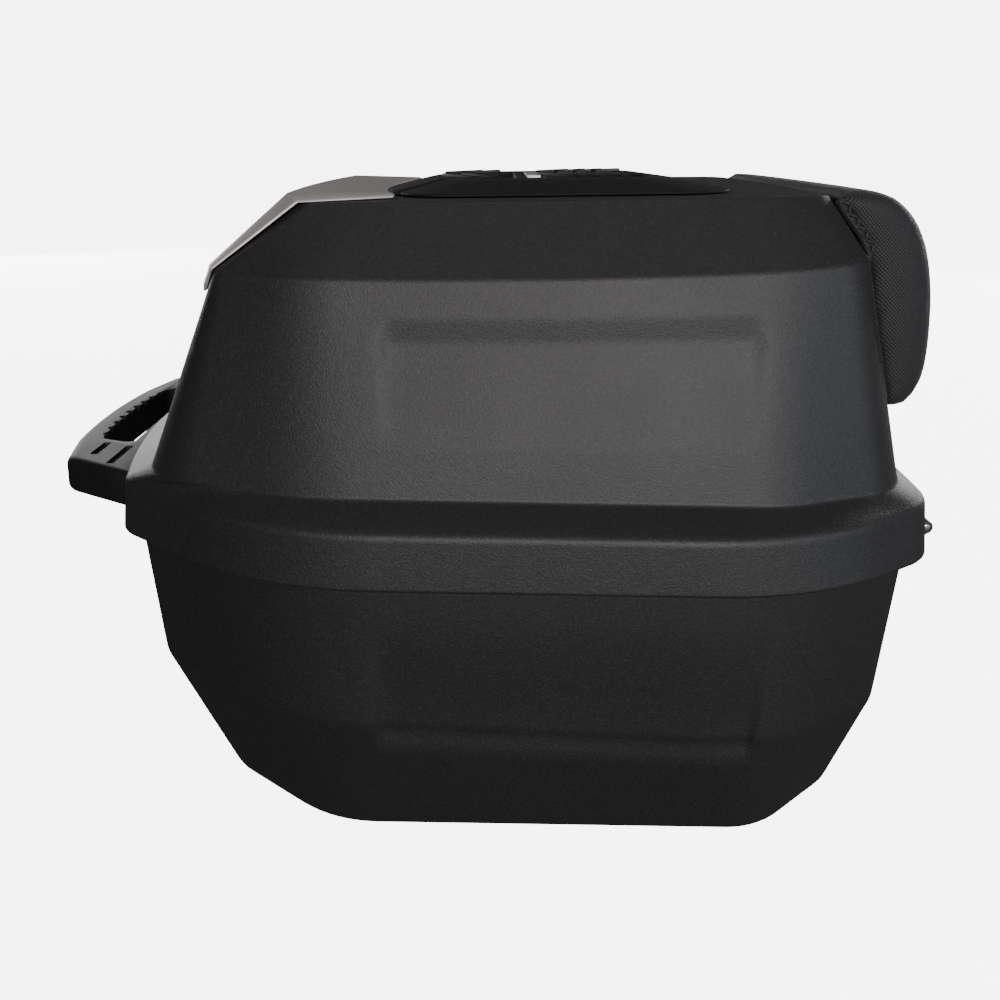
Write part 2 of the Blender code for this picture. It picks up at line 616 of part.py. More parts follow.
def make_striker():
    """The steel striker under the lid's ledge, with the window that the lever's nose enters, and its screws."""
    striker = box("lid_striker", (-0.1885, -0.0120, 0.1515), (-0.1865, 0.0120, 0.1859), STEEL)
    boolean(striker, box("striker_flange", (-0.1944, -0.0170, 0.1839), (-0.1866, 0.0170, 0.1859)), "UNION")
    boolean(striker, box("striker_window", (-0.1950, -0.0075, 0.1537), (-0.1800, 0.0075, 0.1612)))
    for side in (-1, 1):
        hole = cylinder(f"flange_hole_{side:+d}", (-0.1915, side * 0.0125, 0.1800),
                        (-0.1915, side * 0.0125, 0.1880), 0.0018, sides=12)
        boolean(striker, hole)
        name = "striker_screw_left" if side > 0 else "striker_screw_right"
        screw(name, (-0.1915, side * 0.0125, 0.1836), (0, 0, 1), 0.0080, 0.0014, 0.0023, 0.0016)
    return striker


# ---------------------------------------------------------------------------------------------------------
# Quick release from the carrier plate
# ---------------------------------------------------------------------------------------------------------
def facet_x(z):
    """X of the inner face of the base's rear lower facet, on the centre plane."""
    return -0.1466 - 0.526 * (z - 0.005)


def make_release_housing():
    """The housing inside the base that guides the release button and its slide, open to the underside."""
    low, high = WALL + GAP, 0.040
    outline = [(facet_x(low) + 0.0016, low), (-0.0740, low), (-0.0740, high), (facet_x(high) + 0.0016, high)]
    housing = prism("release_housing", outline, "Y", -0.0260, 0.0260, BLACK)
    for side in (-1, 1):
        a, b = sorted((side * 0.0250, side * 0.0405))
        boolean(housing, box(f"release_foot_{side:+d}", (-0.1360, a, low), (-0.0880, b, low + 0.003)), "UNION")
    boolean(housing, box("release_cavity", (-0.1900, -0.0225, 0.0010), (-0.0775, 0.0225, 0.0350)))
    boolean(housing, box("spring_rib", (-0.1120, -0.0240, 0.0215), (-0.1095, 0.0240, 0.0360)), "UNION")
    for side in (-1, 1):
        for index, x in enumerate((-0.130, -0.095)):
            hole = cylinder(f"release_bore_{side:+d}_{index}", (x, side * 0.0355, 0.001),
                            (x, side * 0.0355, 0.010), 0.0019, sides=12)
            boolean(housing, hole)
            name = f"release_screw_{'left' if side > 0 else 'right'}_{index + 1}"
            screw(name, (x, side * 0.0355, low + 0.0034), (0, 0, -1), 0.0048)
    return housing


def make_release_slide():
    """The release button, the steel slide with its tongue, and the return spring."""
    outline = [(-0.1690, 0.0130), (-0.1400, 0.0130), (-0.1400, 0.0315), (-0.1770, 0.0315)]
    prism("release_button", outline, "Y", -0.0203, 0.0203, BLACK)
    bar = [(-0.1396, 0.0150), (-0.1000, 0.0150), (-0.1000, 0.0040), (-0.0970, 0.0040), (-0.0970, 0.0175),
           (-0.1396, 0.0175)]
    prism("release_slide", bar, "Y", -0.0120, 0.0120, STEEL)
    coil("release_spring", (-0.1390, 0.0, 0.0262), (-0.1126, 0.0, 0.0262), 0.0036, 0.0006, 8, STEEL)


# ---------------------------------------------------------------------------------------------------------
# Trim, top cover and backrest on the lid
# ---------------------------------------------------------------------------------------------------------
TOP_SCREWS = ((-0.030, 0.080), (-0.030, -0.080), (0.090, 0.080), (0.090, -0.080))
TRIM_SCREWS = ((-0.080, 0.070), (-0.080, -0.070))


def make_lid_trim():
    """The silver plate over the lid's rear slope, folded onto the rear wall and onto the top."""
    out_wall, out_slope, out_top = Vector((-0.921, 0.390)), Vector((-0.570, 0.822)), Vector((-0.030, 1.0))
    columns = (-1.0, -0.66, -0.33, 0.0, 0.33, 0.66, 1.0)

    def row(half_width, find_x, find_z, normals):
        out = sum(normals, Vector((0.0, 0.0))).normalized() * GAP * 1.6
        points = []
        for share in columns:
            y = share * half_width
            x = find_x(abs(y))
            points.append((x + out.x, y, find_z(x) + out.y))
        return points

    def wall_x(y):
        return rear_x(LID_FOOT_PLAN, y) * 0.12 + rear_x(LID_CREASE_PLAN, y) * 0.88

    rows = [row(0.140, wall_x, lambda x: 0.12 * LID_FOOT_Z + 0.88 * lid_crease_z(-0.146), [out_wall]),
            row(0.145, lambda y: rear_x(LID_CREASE_PLAN, y), lid_crease_z, [out_wall, out_slope]),
            row(0.129, lambda y: rear_x(LID_TOP_PLAN, y), lid_top_z, [out_slope, out_top]),
            row(0.112, lambda y: -0.054, lid_top_z, [out_top])]
    work = bmesh.new()
    grid = [[work.verts.new(point) for point in points] for points in rows]
    for low, high in zip(grid, grid[1:]):
        for i in range(len(columns) - 1):
            work.faces.new((low[i], high[i], high[i + 1], low[i + 1]))
    mesh = mesh_from(work, "lid_trim")
    if mesh.polygons[0].normal.x > 0:
        mesh.flip_normals()
    trim = add_object("lid_trim", mesh, SILVER)
    step = trim.modifiers.new("sheet", "SOLIDIFY")
    step.thickness = 0.0022
    step.offset = 1.0
    step.use_even_offset = True
    for index, (x, y) in enumerate(TRIM_SCREWS):
        post = cylinder(f"trim_post_{index}", (x, y, lid_top_z(x) - 0.0022), (x, y, lid_top_z(x) + 0.0018), 0.0016,
                        sides=12)
        boolean(trim, post, "UNION")
        name = "trim_clip_left" if y > 0 else "trim_clip_right"
        inner_z = lid_top_z(x) - WALL
        clip = cylinder(name, (x, y, inner_z - 0.0026), (x, y, inner_z - 0.0006), 0.0042, ZINC, sides=16)
        boolean(clip, cylinder(f"clip_bore_{index}", (x, y, inner_z - 0.001), (x, y, inner_z + 0.002), 0.0012,
                               sides=12))
    return trim


def make_top_cover():
    """The raised cover on the lid's top: a low mound with cross ribs, and the screws from inside."""
    def ring(x_rear, x_front, half_width, corner, lift):
        flat = [(x_rear, 0.0)]
        flat += fillet((x_rear, 0.0), (x_rear, half_width), (x_front, half_width), corner, 3)
        flat += fillet((x_rear, half_width), (x_front, half_width), (x_front, 0.0), corner, 3)
        flat.append((x_front, 0.0))
        return [(x, y, lid_top_z(x) + lift) for x, y in flat]

    halves = [ring(-0.050, 0.126, 0.112, 0.030, GAP), ring(-0.050, 0.126, 0.112, 0.030, 0.0015),
              ring(-0.026, 0.088, 0.078, 0.022, 0.0078)]
    cover = add_object("top_cover", loft("top_cover", halves, cap_first=True, cap_last=True), BLACK)
    for index, x in enumerate((0.0075, 0.0235)):
        notch = box(f"cover_notch_{index}", (x - 0.0050, -0.055, lid_top_z(x) + 0.0050),
                    (x + 0.0050, 0.055, lid_top_z(x) + 0.0200))
        boolean(cover, notch)
    for index, (x, y) in enumerate(TOP_SCREWS):
        hole = cylinder(f"cover_bore_{index}", (x, y, 0.325), (x, y, lid_top_z(x) + 0.0045), 0.0020, sides=12)
        boolean(cover, hole)
        name = f"top_cover_screw_{index + 1}"
        screw(name, (x, y, lid_top_z(x) - WALL - GAP), (0, 0, 1), 0.0070)
    x = 0.0235
    box("badge_plate", (x - 0.0042, -0.030, lid_top_z(x) + 0.0054), (x + 0.0042, 0.030, lid_top_z(x) + 0.0084),
        SILVER)
    return cover


def front_wall_x(z, y=0.0):
    """X of the lid's front wall at a height, which leans back towards the crease."""
    share = (z - LID_FOOT_Z) / (lid_crease_z(0.19) - LID_FOOT_Z)
    foot, crease = chord_x(LID_FOOT_PLAN, abs(y), front=True), chord_x(LID_CREASE_PLAN, abs(y), front=True)
    return foot * (1 - share) + crease * share


def backrest_screw_places():
    """The centre of each backrest screw's bearing face inside the lid, and the way its shank runs."""
    way = Vector((0.967, 0.0, 0.255))
    places = []
    for z in (0.240, 0.285):
        for y in (-0.070, 0.070):
            places.append((Vector((front_wall_x(z, y), y, z)) - way * (WALL + 0.0006), way))
    return places


def wall_sheet(name, low, high, half, lift, thickness, look=None):
    """A sheet that follows the lid's front wall, at a distance in front of it."""
    work = bmesh.new()
    rows = []
    for y in (-half, -0.0725, 0.0, 0.0725, half):
        rows.append([work.verts.new((front_wall_x(z, y) + lift, y, z)) for z in (low, high)])
    for near, far in zip(rows, rows[1:]):
        work.faces.new((near[0], far[0], far[1], near[1]))
    mesh = mesh_from(work, name)
    if mesh.polygons[0].normal.x < 0:
        mesh.flip_normals()
    sheet = add_object(name, mesh, look)
    step = sheet.modifiers.new("sheet", "SOLIDIFY")
    step.thickness = thickness
    step.offset = 1.0
    return sheet


def make_backrest():
    """The cushion on the lid's front wall, the plate inside it, and the plate's four screws."""
    plate = wall_sheet("backrest_plate", 0.2320, 0.3000, 0.0980, 0.0008, 0.0025, BLACK)
    for index, (head, way) in enumerate(backrest_screw_places()):
        boolean(plate, cylinder(f"plate_bore_{index}", head, head + way * 0.014, 0.0020, sides=12))
        screw(f"backrest_screw_{index + 1}", head, way, 0.0062)

    crease_z = lid_crease_z(0.19)
    section = [(front_wall_x(0.2290), 0.2275), (front_wall_x(crease_z), crease_z + 0.003),
               (0.1733, lid_top_z(0.172) + 0.0012), (0.1880, 0.3412), (0.2050, 0.3400), (0.2165, 0.3317),
               (0.2270, 0.3153), (0.2328, 0.2950), (0.2360, 0.2700), (0.2364, 0.2568), (0.2345, 0.2405),
               (0.2285, 0.2310)]
    stations = ((-0.127, 0.35), (-0.121, 0.70), (-0.108, 0.90), (-0.070, 1.0), (0.0, 1.0), (0.070, 1.0),
                (0.108, 0.90), (0.121, 0.70), (0.127, 0.35))
    work = bmesh.new()
    rings = []
    for y, swell in stations:
        ring = []
        for index, (x, z) in enumerate(section):
            level = min(z, crease_z)
            shift = front_wall_x(level, y) - front_wall_x(level) + (0.0008 if index < 2 else 0.0)
            if index > 2:
                share = (index - 2) / 9
                back_x = 0.1733 * (1 - share) + section[0][0] * share
                x = back_x + (x - back_x) * swell
                z = 0.285 + (z - 0.285) * (0.93 + 0.07 * swell)
            ring.append(work.verts.new((x + shift, y, z)))
        rings.append(ring)
    for low, high in zip(rings, rings[1:]):
        for i in range(len(section)):
            j = (i + 1) % len(section)
            work.faces.new((low[i], low[j], high[j], high[i]))
    work.faces.new(rings[0])
    work.faces.new(rings[-1])
    pad = add_object("backrest_pad", mesh_from(work, "backrest_pad"), WEAVE)
    boolean(pad, wall_sheet("plate_recess", 0.2295, 0.3012, 0.0988, -0.0030, 0.0072))
    for index, (head, way) in enumerate(backrest_screw_places()):
        boolean(pad, cylinder(f"pad_relief_{index}", head, head + way * 0.013, 0.0030, sides=12))
    return pad


# ---------------------------------------------------------------------------------------------------------
# Assembly
# ---------------------------------------------------------------------------------------------------------
def coil_around_plunger():
    """The button's return spring, round its plunger in the housing's pocket."""
    return coil("button_spring", (-0.2058, 0.0, LOCK_Z), (-0.2017, 0.0, LOCK_Z), 0.0102, 0.0005, 2, STEEL)


make_base_shell()
make_lid_shell()
make_rim_seal()
make_handle()
make_handle_screws()
make_hinge_pins()
make_lock_housing()
make_lid_button()
coil_around_plunger()
make_lock_barrel()
make_latch_lever()
make_latch_cover()
make_striker()
make_release_housing()
make_release_slide()
make_lid_trim()
make_top_cover()
make_backrest()
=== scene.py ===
"""Looks for a hard motorcycle luggage case: shells, silver trim, woven backrest, lock, hinges and release.

Every size is in metres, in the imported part's own frame: +X is the motorcycle's front, +Z is up, and the
origin is the centre of the flat underside. Each sub-assembly is a class that builds its meshes, dresses them
and ties them to the bodies that they move with.
"""

import logging
import math
from dataclasses import dataclass, field
from enum import Enum
from typing import Callable, Iterable, Optional, Sequence

import bmesh
import bpy
import numpy as np
from mathutils import Matrix, Vector


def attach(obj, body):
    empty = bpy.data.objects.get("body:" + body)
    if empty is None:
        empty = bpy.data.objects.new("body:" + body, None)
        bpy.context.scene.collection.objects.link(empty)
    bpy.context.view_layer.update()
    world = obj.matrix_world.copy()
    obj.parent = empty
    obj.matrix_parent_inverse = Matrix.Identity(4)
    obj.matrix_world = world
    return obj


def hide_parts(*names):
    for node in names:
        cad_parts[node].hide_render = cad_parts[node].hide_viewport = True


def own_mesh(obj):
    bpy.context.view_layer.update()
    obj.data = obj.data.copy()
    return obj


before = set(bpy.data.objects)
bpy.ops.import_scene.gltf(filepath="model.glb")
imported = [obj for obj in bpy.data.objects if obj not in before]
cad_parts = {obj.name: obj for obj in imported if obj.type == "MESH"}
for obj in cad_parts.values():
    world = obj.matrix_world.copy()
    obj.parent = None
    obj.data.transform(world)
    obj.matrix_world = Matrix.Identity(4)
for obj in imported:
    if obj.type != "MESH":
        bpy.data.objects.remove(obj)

LOG = logging.getLogger("luggage_case")
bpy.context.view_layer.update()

MERGE = 2e-6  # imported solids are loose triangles, whose corners meet within this
WHITE = (1.0, 1.0, 1.0)
SIDES = ((1, "left"), (-1, "right"))

Pair = tuple[float, float]
Place = tuple[float, float, float]
Corner = tuple[float, float, float]
Value = float | bpy.types.NodeSocket


class Body(Enum):
    """The rigid bodies that pieces ride on."""

    BASE = "base"
    LID = "lid"
    BUTTON = "lid_button"
    KEY = "key_barrel"
    LATCH = "latch"
    RELEASE = "release"


class Slot(Enum):
    """The record's material slots."""

    BLACK = "black_plastic"
    INNER = "inner_plastic"
    RUBBER = "rubber"
    SILVER = "silver_trim"
    STEEL = "bright_steel"
    ZINC = "zinc_plated"
    WEAVE = "woven_cushion"


# ---------------------------------------------------------------------------------------------------------
# Finishes
# ---------------------------------------------------------------------------------------------------------
class Graph:
    """A short way to write a shader's or a geometry's node tree."""

    def __init__(self, tree: bpy.types.NodeTree) -> None:
        """Keep the tree that nodes are added to.

        Args:
            tree: The node tree.
        """
        self.tree = tree

    def link(self, value: object, socket: bpy.types.NodeSocket) -> None:
        """Link a socket to an input, or set the input's own value.

        Args:
            value: An output socket, or a value.
            socket: The input.
        """
        if isinstance(value, bpy.types.NodeSocket):
            self.tree.links.new(value, socket)
        else:
            socket.default_value = value

    def add(self, kind: str, settings: Optional[dict] = None, **inputs: object) -> bpy.types.Node:
        """Add a node, set its properties, and set or link its inputs.

        Args:
            kind: The node's type name.
            settings: The node's own properties, such as an operation.
            inputs: A value or an output socket for each input. Spaces in an input's name are written as _,
                and i0 is the first input by its place.

        Returns:
            The new node.
        """
        node = self.tree.nodes.new(kind)
        for name, value in (settings or {}).items():
            setattr(node, name, value)
        for name, value in inputs.items():
            by_place = name[0] == "i" and name[1:].isdigit()
            self.link(value, node.inputs[int(name[1:]) if by_place else name.replace("_", " ")])
        return node

    def math(self, operation: str, first: Value, second: Value = 0.0,
             third: Value = 0.0) -> bpy.types.NodeSocket:
        """Add a Math node.

        Args:
            operation: The operation's name.
            first: The first value or socket.
            second: The second value or socket.
            third: The third value or socket.

        Returns:
            The result's socket.
        """
        return self.add("ShaderNodeMath", {"operation": operation}, i0=first, i1=second, i2=third).outputs[0]

    def ramp(self, value: Value, low: float, high: float, start: float = 0.0,
             end: float = 1.0) -> bpy.types.NodeSocket:
        """Map a value from one range to another, clamped and eased in and out.

        Args:
            value: The value's socket.
            low: The value that gives start.
            high: The value that gives end.
            start: The result at low.
            end: The result at high.

        Returns:
            The result's socket.
        """
        return self.add("ShaderNodeMapRange", {"interpolation_type": "SMOOTHSTEP"}, i0=value, i1=low, i2=high,
                        i3=start, i4=end).outputs[0]

    def noise(self, where: Value, scale: float, detail: float = 2.0,
              rough: float = 0.5) -> bpy.types.NodeSocket:
        """Add a noise texture and return its value's socket.

        Args:
            where: The coordinates' socket.
            scale: Features per metre.
            detail: How many octaves.
            rough: How strong the finer octaves are.

        Returns:
            The noise value's socket.
        """
        node = self.add("ShaderNodeTexNoise", Vector=where, Scale=scale, Detail=detail, Roughness=rough)
        return node.outputs[0]

    def blend(self, share: Value, first: object, second: object) -> bpy.types.NodeSocket:
        """Mix two colours.

        Args:
            share: How much of the second.
            first: The first colour, as a socket or four numbers.
            second: The second colour.

        Returns:
            The mixed colour's socket.
        """
        return self.add("ShaderNodeMix", {"data_type": "RGBA"}, i0=share, i6=first, i7=second).outputs[2]

    def relief(self, shader: bpy.types.Node, height: Value, depth: float, strength: float) -> None:
        """Give a shader a bump.

        Args:
            shader: The Principled shader.
            height: The bump's height, from 0 to 1.
            depth: How deep a height of 1 is, in metres.
            strength: How strong the bump is.
        """
        bump = self.add("ShaderNodeBump", Strength=strength, Distance=depth, Height=height)
        self.link(bump.outputs[0], shader.inputs["Normal"])


def shade(colour: Sequence[float], factor: float) -> tuple[float, float, float, float]:
    """A colour made lighter or darker.

    Args:
        colour: Red, green and blue.
        factor: What each is multiplied by.

    Returns:
        Red, green, blue and one.
    """
    return (*(min(1.0, part * factor) for part in colour[:3]), 1.0)


@dataclass(frozen=True)
class Finish:
    """What every finish has: a name and a way to start its material."""

    name: str

    def start(self) -> tuple[bpy.types.Material, Graph, bpy.types.Node, bpy.types.NodeSocket]:
        """Make an empty material.

        Returns:
            The material, its graph, its Principled shader and the object coordinates.
        """
        made = bpy.data.materials.new(self.name)
        made.use_nodes = True
        made.node_tree.nodes.clear()
        graph = Graph(made.node_tree)
        shader = graph.add("ShaderNodeBsdfPrincipled")
        graph.add("ShaderNodeOutputMaterial", Surface=shader.outputs[0])
        where = graph.add("ShaderNodeTexCoord").outputs["Object"]
        return made, graph, shader, where


@dataclass(frozen=True)
class GrainedPlastic(Finish):
    """Moulded polypropylene: spark-eroded grain, uneven sheen, rubbed edges, dust and a few scratches."""

    colour: Sequence[float] = (0.020, 0.0195, 0.0195)
    roughness: float = 0.50
    grain_pitch: float = 0.0009
    grain_depth: float = 0.00024
    dust: float = 1.0
    specular: float = 0.5
    worn_share: float = 0.35
    dust_tone: Sequence[float] = (0.20, 0.20, 0.19, 1.0)
    dust_pitch: float = 1 / 150.0
    scratch_tone: Sequence[float] = (0.16, 0.16, 0.16, 1.0)
    scratch_pitch: float = 1 / 55.0
    scratch_stretch: float = 0.03

    def grain(self, graph: Graph, where: bpy.types.NodeSocket) -> bpy.types.NodeSocket:
        """The base colour: darker pits between lighter pebbles, in faint patches.

        Args:
            graph: The material's graph.
            where: The object coordinates.

        Returns:
            The colour's socket.
        """
        patch = graph.noise(where, 9.0, 3.0)
        tone = graph.blend(patch, shade(self.colour, 0.93), shade(self.colour, 1.07))
        pebble = graph.noise(where, 0.8 / self.grain_pitch, 2.0, 0.6)
        crown = graph.blend(graph.ramp(pebble, 0.60, 0.72), tone, shade(self.colour, 1.6))
        return graph.blend(graph.ramp(pebble, 0.36, 0.66), shade(self.colour, 0.66), crown)

    def worn(self, graph: Graph, where: bpy.types.NodeSocket,
             tone: bpy.types.NodeSocket) -> bpy.types.NodeSocket:
        """Lighten the colour where edges are rubbed.

        Args:
            graph: The material's graph.
            where: The object coordinates.
            tone: The colour so far.

        Returns:
            The colour's socket.
        """
        edge = graph.add("ShaderNodeNewGeometry").outputs["Pointiness"]
        uneven = graph.ramp(graph.noise(where, 60.0), 0.35, 0.7)
        rubbed = graph.math("MULTIPLY", graph.ramp(edge, 0.515, 0.56), uneven)
        return graph.blend(graph.math("MULTIPLY", rubbed, self.worn_share), tone, shade(self.colour, 2.6))

    @staticmethod
    def marks(graph: Graph, where: bpy.types.NodeSocket, pitch: float, channel: int, reach: Pair,
              luck: Pair) -> bpy.types.NodeSocket:
        """Small marks round the centres of a few chosen cells.

        Args:
            graph: The material's graph.
            where: The coordinates that the cells follow.
            pitch: The cells' size.
            channel: Which of a cell's random values chooses it.
            reach: The distances from a cell's centre where a mark fades out and where it is full.
            luck: The random values between which a cell comes to have a mark.

        Returns:
            A socket with 1 on a mark and 0 elsewhere.
        """
        cells = graph.add("ShaderNodeTexVoronoi", Vector=where, Scale=1 / pitch)
        chance = graph.add("ShaderNodeSeparateColor", i0=cells.outputs["Color"]).outputs[channel]
        return graph.math("MULTIPLY", graph.ramp(cells.outputs["Distance"], *reach), graph.ramp(chance, *luck))

    def make(self) -> bpy.types.Material:
        """Build the material.

        Returns:
            The material.
        """
        made, graph, shader, where = self.start()
        tone = self.worn(graph, where, self.grain(graph, where))
        speck = self.marks(graph, where, self.dust_pitch, 0, (0.055, 0.03), (0.965, 0.975))
        tone = graph.blend(graph.math("MULTIPLY", speck, 0.55 * self.dust), tone, self.dust_tone)
        stretched = graph.add("ShaderNodeMapping", Vector=where, Rotation=(0.3, 0.9, 0.4),
                              Scale=(1.0, 1.0, self.scratch_stretch)).outputs[0]
        scratch = self.marks(graph, stretched, self.scratch_pitch, 1, (0.016, 0.008), (0.988, 0.990))
        tone = graph.blend(graph.math("MULTIPLY", scratch, 0.30 * self.dust), tone, self.scratch_tone)
        graph.link(tone, shader.inputs["Base Color"])
        patches = graph.noise(where, 16.0, 4.0)
        graph.link(graph.ramp(patches, 0.3, 0.7, self.roughness - 0.012, self.roughness + 0.015),
                   shader.inputs["Roughness"])
        shader.inputs["Specular IOR Level"].default_value = self.specular
        pits = graph.noise(where, 1.0 / self.grain_pitch, 3.0, 0.65)
        broad = graph.noise(where, 0.28 / self.grain_pitch, 2.0)
        graph.relief(shader, graph.math("MULTIPLY_ADD", broad, 0.30, pits), self.grain_depth, 1.0)
        return made


@dataclass(frozen=True)
class WovenCover(Finish):
    """A ballistic cloth with a fine diamond weave."""

    colour: Sequence[float] = (0.0095, 0.0095, 0.0105)
    pitch: float = 0.0017
    depth: float = 0.00022

    def make(self) -> bpy.types.Material:
        """Build the material.

        Returns:
            The material.
        """
        made, graph, shader, where = self.start()
        x, y, z = graph.add("ShaderNodeSeparateXYZ", Vector=where).outputs
        uneven = graph.math("SUBTRACT", graph.noise(where, 40.0), 0.5)
        drift = graph.math("MULTIPLY", uneven, self.pitch * 0.8)
        across = graph.math("ADD", graph.math("ADD", x, y), drift)
        turn = 2 * math.pi / self.pitch
        up = graph.math("SINE", graph.math("MULTIPLY", across, turn))
        down = graph.math("SINE", graph.math("MULTIPLY", z, turn * 0.9))
        lift = graph.math("MULTIPLY", up, down)
        thread = graph.ramp(lift, -0.75, 0.75)
        fibres = graph.noise(where, 2600.0, 2.0, 0.6)
        patch = graph.noise(where, 14.0, 3.0)
        tone = graph.blend(thread, shade(self.colour, 0.45), shade(self.colour, 1.45))
        tone = graph.blend(graph.math("MULTIPLY", patch, 0.35), tone, shade(self.colour, 0.8))
        tone = graph.blend(graph.ramp(fibres, 0.55, 0.8, 0.0, 0.35), tone, shade(self.colour, 2.4))
        graph.link(tone, shader.inputs["Base Color"])
        graph.link(graph.ramp(thread, 0.0, 1.0, 0.85, 0.52), shader.inputs["Roughness"])
        shader.inputs["Sheen Weight"].default_value = 0.10
        shader.inputs["Sheen Roughness"].default_value = 0.45
        graph.relief(shader, graph.math("MULTIPLY_ADD", fibres, 0.25, thread), self.depth, 0.8)
        return made


@dataclass(frozen=True)
class Metal(Finish):
    """A metal or metallic paint with fine lines or flakes, stains and softened shine."""

    colour: Sequence[float] = (0.62, 0.62, 0.63)
    metallic: float = 1.0
    roughness: float = 0.30
    line_stretch: Place = (1.0, 1.0, 1.0)
    line_scale: float = 900.0
    depth: float = 0.00002
    coat: float = 0.0

    def make(self) -> bpy.types.Material:
        """Build the material.

        Returns:
            The material.
        """
        made, graph, shader, where = self.start()
        stretched = graph.add("ShaderNodeMapping", Vector=where, Scale=self.line_stretch).outputs[0]
        lines = graph.noise(stretched, self.line_scale, 3.0, 0.6)
        stain = graph.noise(where, 38.0, 4.0, 0.6)
        tone = graph.blend(stain, shade(self.colour, 0.86), shade(self.colour, 1.08))
        tone = graph.blend(graph.ramp(lines, 0.35, 0.65, 0.0, 0.25), tone, shade(self.colour, 0.72))
        graph.link(tone, shader.inputs["Base Color"])
        shader.inputs["Metallic"].default_value = self.metallic
        shader.inputs["Coat Weight"].default_value = self.coat
        lined = graph.math("MULTIPLY_ADD", lines, 0.10, self.roughness - 0.12)
        graph.link(graph.math("MULTIPLY_ADD", stain, 0.16, lined), shader.inputs["Roughness"])
        graph.relief(shader, lines, self.depth, 0.6)
        return made


@dataclass(frozen=True)
class Rubber(Finish):
    """Extruded rubber: dull and dusty in its pores."""

    colour: Sequence[float] = (0.013, 0.013, 0.013)
    depth: float = 0.00006

    def make(self) -> bpy.types.Material:
        """Build the material.

        Returns:
            The material.
        """
        made, graph, shader, where = self.start()
        pores = graph.noise(where, 700.0, 3.0, 0.7)
        bloom = graph.noise(where, 26.0, 4.0)
        dusted = graph.ramp(bloom, 0.4, 0.75, 0.0, 0.6)
        tone = graph.blend(dusted, shade(self.colour, 1.0), shade(self.colour, 2.2))
        graph.link(tone, shader.inputs["Base Color"])
        graph.link(graph.ramp(bloom, 0.3, 0.7, 0.70, 0.88), shader.inputs["Roughness"])
        graph.relief(shader, pores, self.depth, 0.5)
        return made


@dataclass(frozen=True)
class StudioFloor(Finish):
    """The pale floor that the case stands on, which glows faintly so that it stays even."""

    colour: Sequence[float] = (0.88, 0.88, 0.88)
    glow: float = 6.2

    def make(self) -> bpy.types.Material:
        """Build the material.

        Returns:
            The material.
        """
        made, graph, shader, where = self.start()
        cloud = graph.noise(where, 2.0, 3.0)
        tone = graph.blend(cloud, shade(self.colour, 0.98), shade(self.colour, 1.02))
        graph.link(tone, shader.inputs["Base Color"])
        shader.inputs["Roughness"].default_value = 0.9
        shader.inputs["Specular IOR Level"].default_value = 0.1
        shader.inputs["Emission Color"].default_value = (*WHITE, 1.0)
        shader.inputs["Emission Strength"].default_value = self.glow
        return made


class Finishes:
    """One material of each finish, made once."""

    def __init__(self) -> None:
        """Make the materials."""
        self.lid = GrainedPlastic("grained_plastic_lid").make()
        self.base = GrainedPlastic("grained_plastic_base", colour=(0.017, 0.0165, 0.0165),
                                   roughness=0.54).make()
        self.top = GrainedPlastic("grained_plastic_top", colour=(0.010, 0.0105, 0.010), roughness=0.66,
                                  specular=0.22).make()
        self.handle = GrainedPlastic("grained_plastic_handle", colour=(0.011, 0.011, 0.011), roughness=0.54,
                                     specular=0.22, grain_depth=0.00007).make()
        self.inner = GrainedPlastic("satin_plastic_inner", colour=(0.021, 0.021, 0.022), roughness=0.42,
                                    grain_pitch=0.0018, grain_depth=0.00004, dust=0.4).make()
        self.rubber = Rubber("seal_rubber").make()
        self.silver = Metal("silver_paint", colour=(0.58, 0.555, 0.52), metallic=0.45, roughness=0.42,
                            line_scale=1500.0, depth=0.00001, coat=0.15).make()
        self.steel = Metal("bright_steel", colour=(0.66, 0.67, 0.69), roughness=0.26,
                           line_stretch=(1.0, 0.08, 1.0)).make()
        self.zinc = Metal("zinc_plate", colour=(0.50, 0.50, 0.50), roughness=0.40, line_scale=500.0).make()
        self.weave = WovenCover("woven_cover").make()
        self.thread = WovenCover("stitch_thread", colour=(0.035, 0.035, 0.036), pitch=0.0007,
                                 depth=0.0001).make()
        self.floor = StudioFloor("studio_floor").make()


# ---------------------------------------------------------------------------------------------------------
# Workshop: making, cutting and finishing meshes
# ---------------------------------------------------------------------------------------------------------
def new_object(name: str, mesh: bpy.types.Mesh) -> bpy.types.Object:
    """Link a mesh to the scene as an object.

    Args:
        name: The object's name.
        mesh: Its mesh.

    Returns:
        The object.
    """
    made = bpy.data.objects.new(name, mesh)
    bpy.context.scene.collection.objects.link(made)
    return made


def from_bmesh(name: str, work: bmesh.types.BMesh) -> bpy.types.Object:
    """Close a bmesh into an object whose faces point outwards.

    Args:
        name: The object's name.
        work: The bmesh, which is freed.

    Returns:
        The object.
    """
    bmesh.ops.recalc_face_normals(work, faces=work.faces)
    mesh = bpy.data.meshes.new(name)
    work.to_mesh(mesh)
    work.free()
    return new_object(name, mesh)


def baked(obj: bpy.types.Object) -> bpy.types.Object:
    """Turn an object's modifiers into its plain mesh.

    Args:
        obj: The object.

    Returns:
        The same object.
    """
    bpy.context.view_layer.update()
    graph = bpy.context.evaluated_depsgraph_get()
    mesh = bpy.data.meshes.new_from_object(obj.evaluated_get(graph))
    obj.modifiers.clear()
    obj.data = mesh
    return obj


def smooth(obj: bpy.types.Object, angle: float = 32.0) -> bpy.types.Object:
    """Shade an object smooth, apart from edges sharper than an angle.

    Args:
        obj: The object.
        angle: The sharpest smooth edge, in degrees.

    Returns:
        The same object.
    """
    obj.data.shade_smooth()
    obj.data.set_sharp_from_angle(angle=math.radians(angle))
    return obj


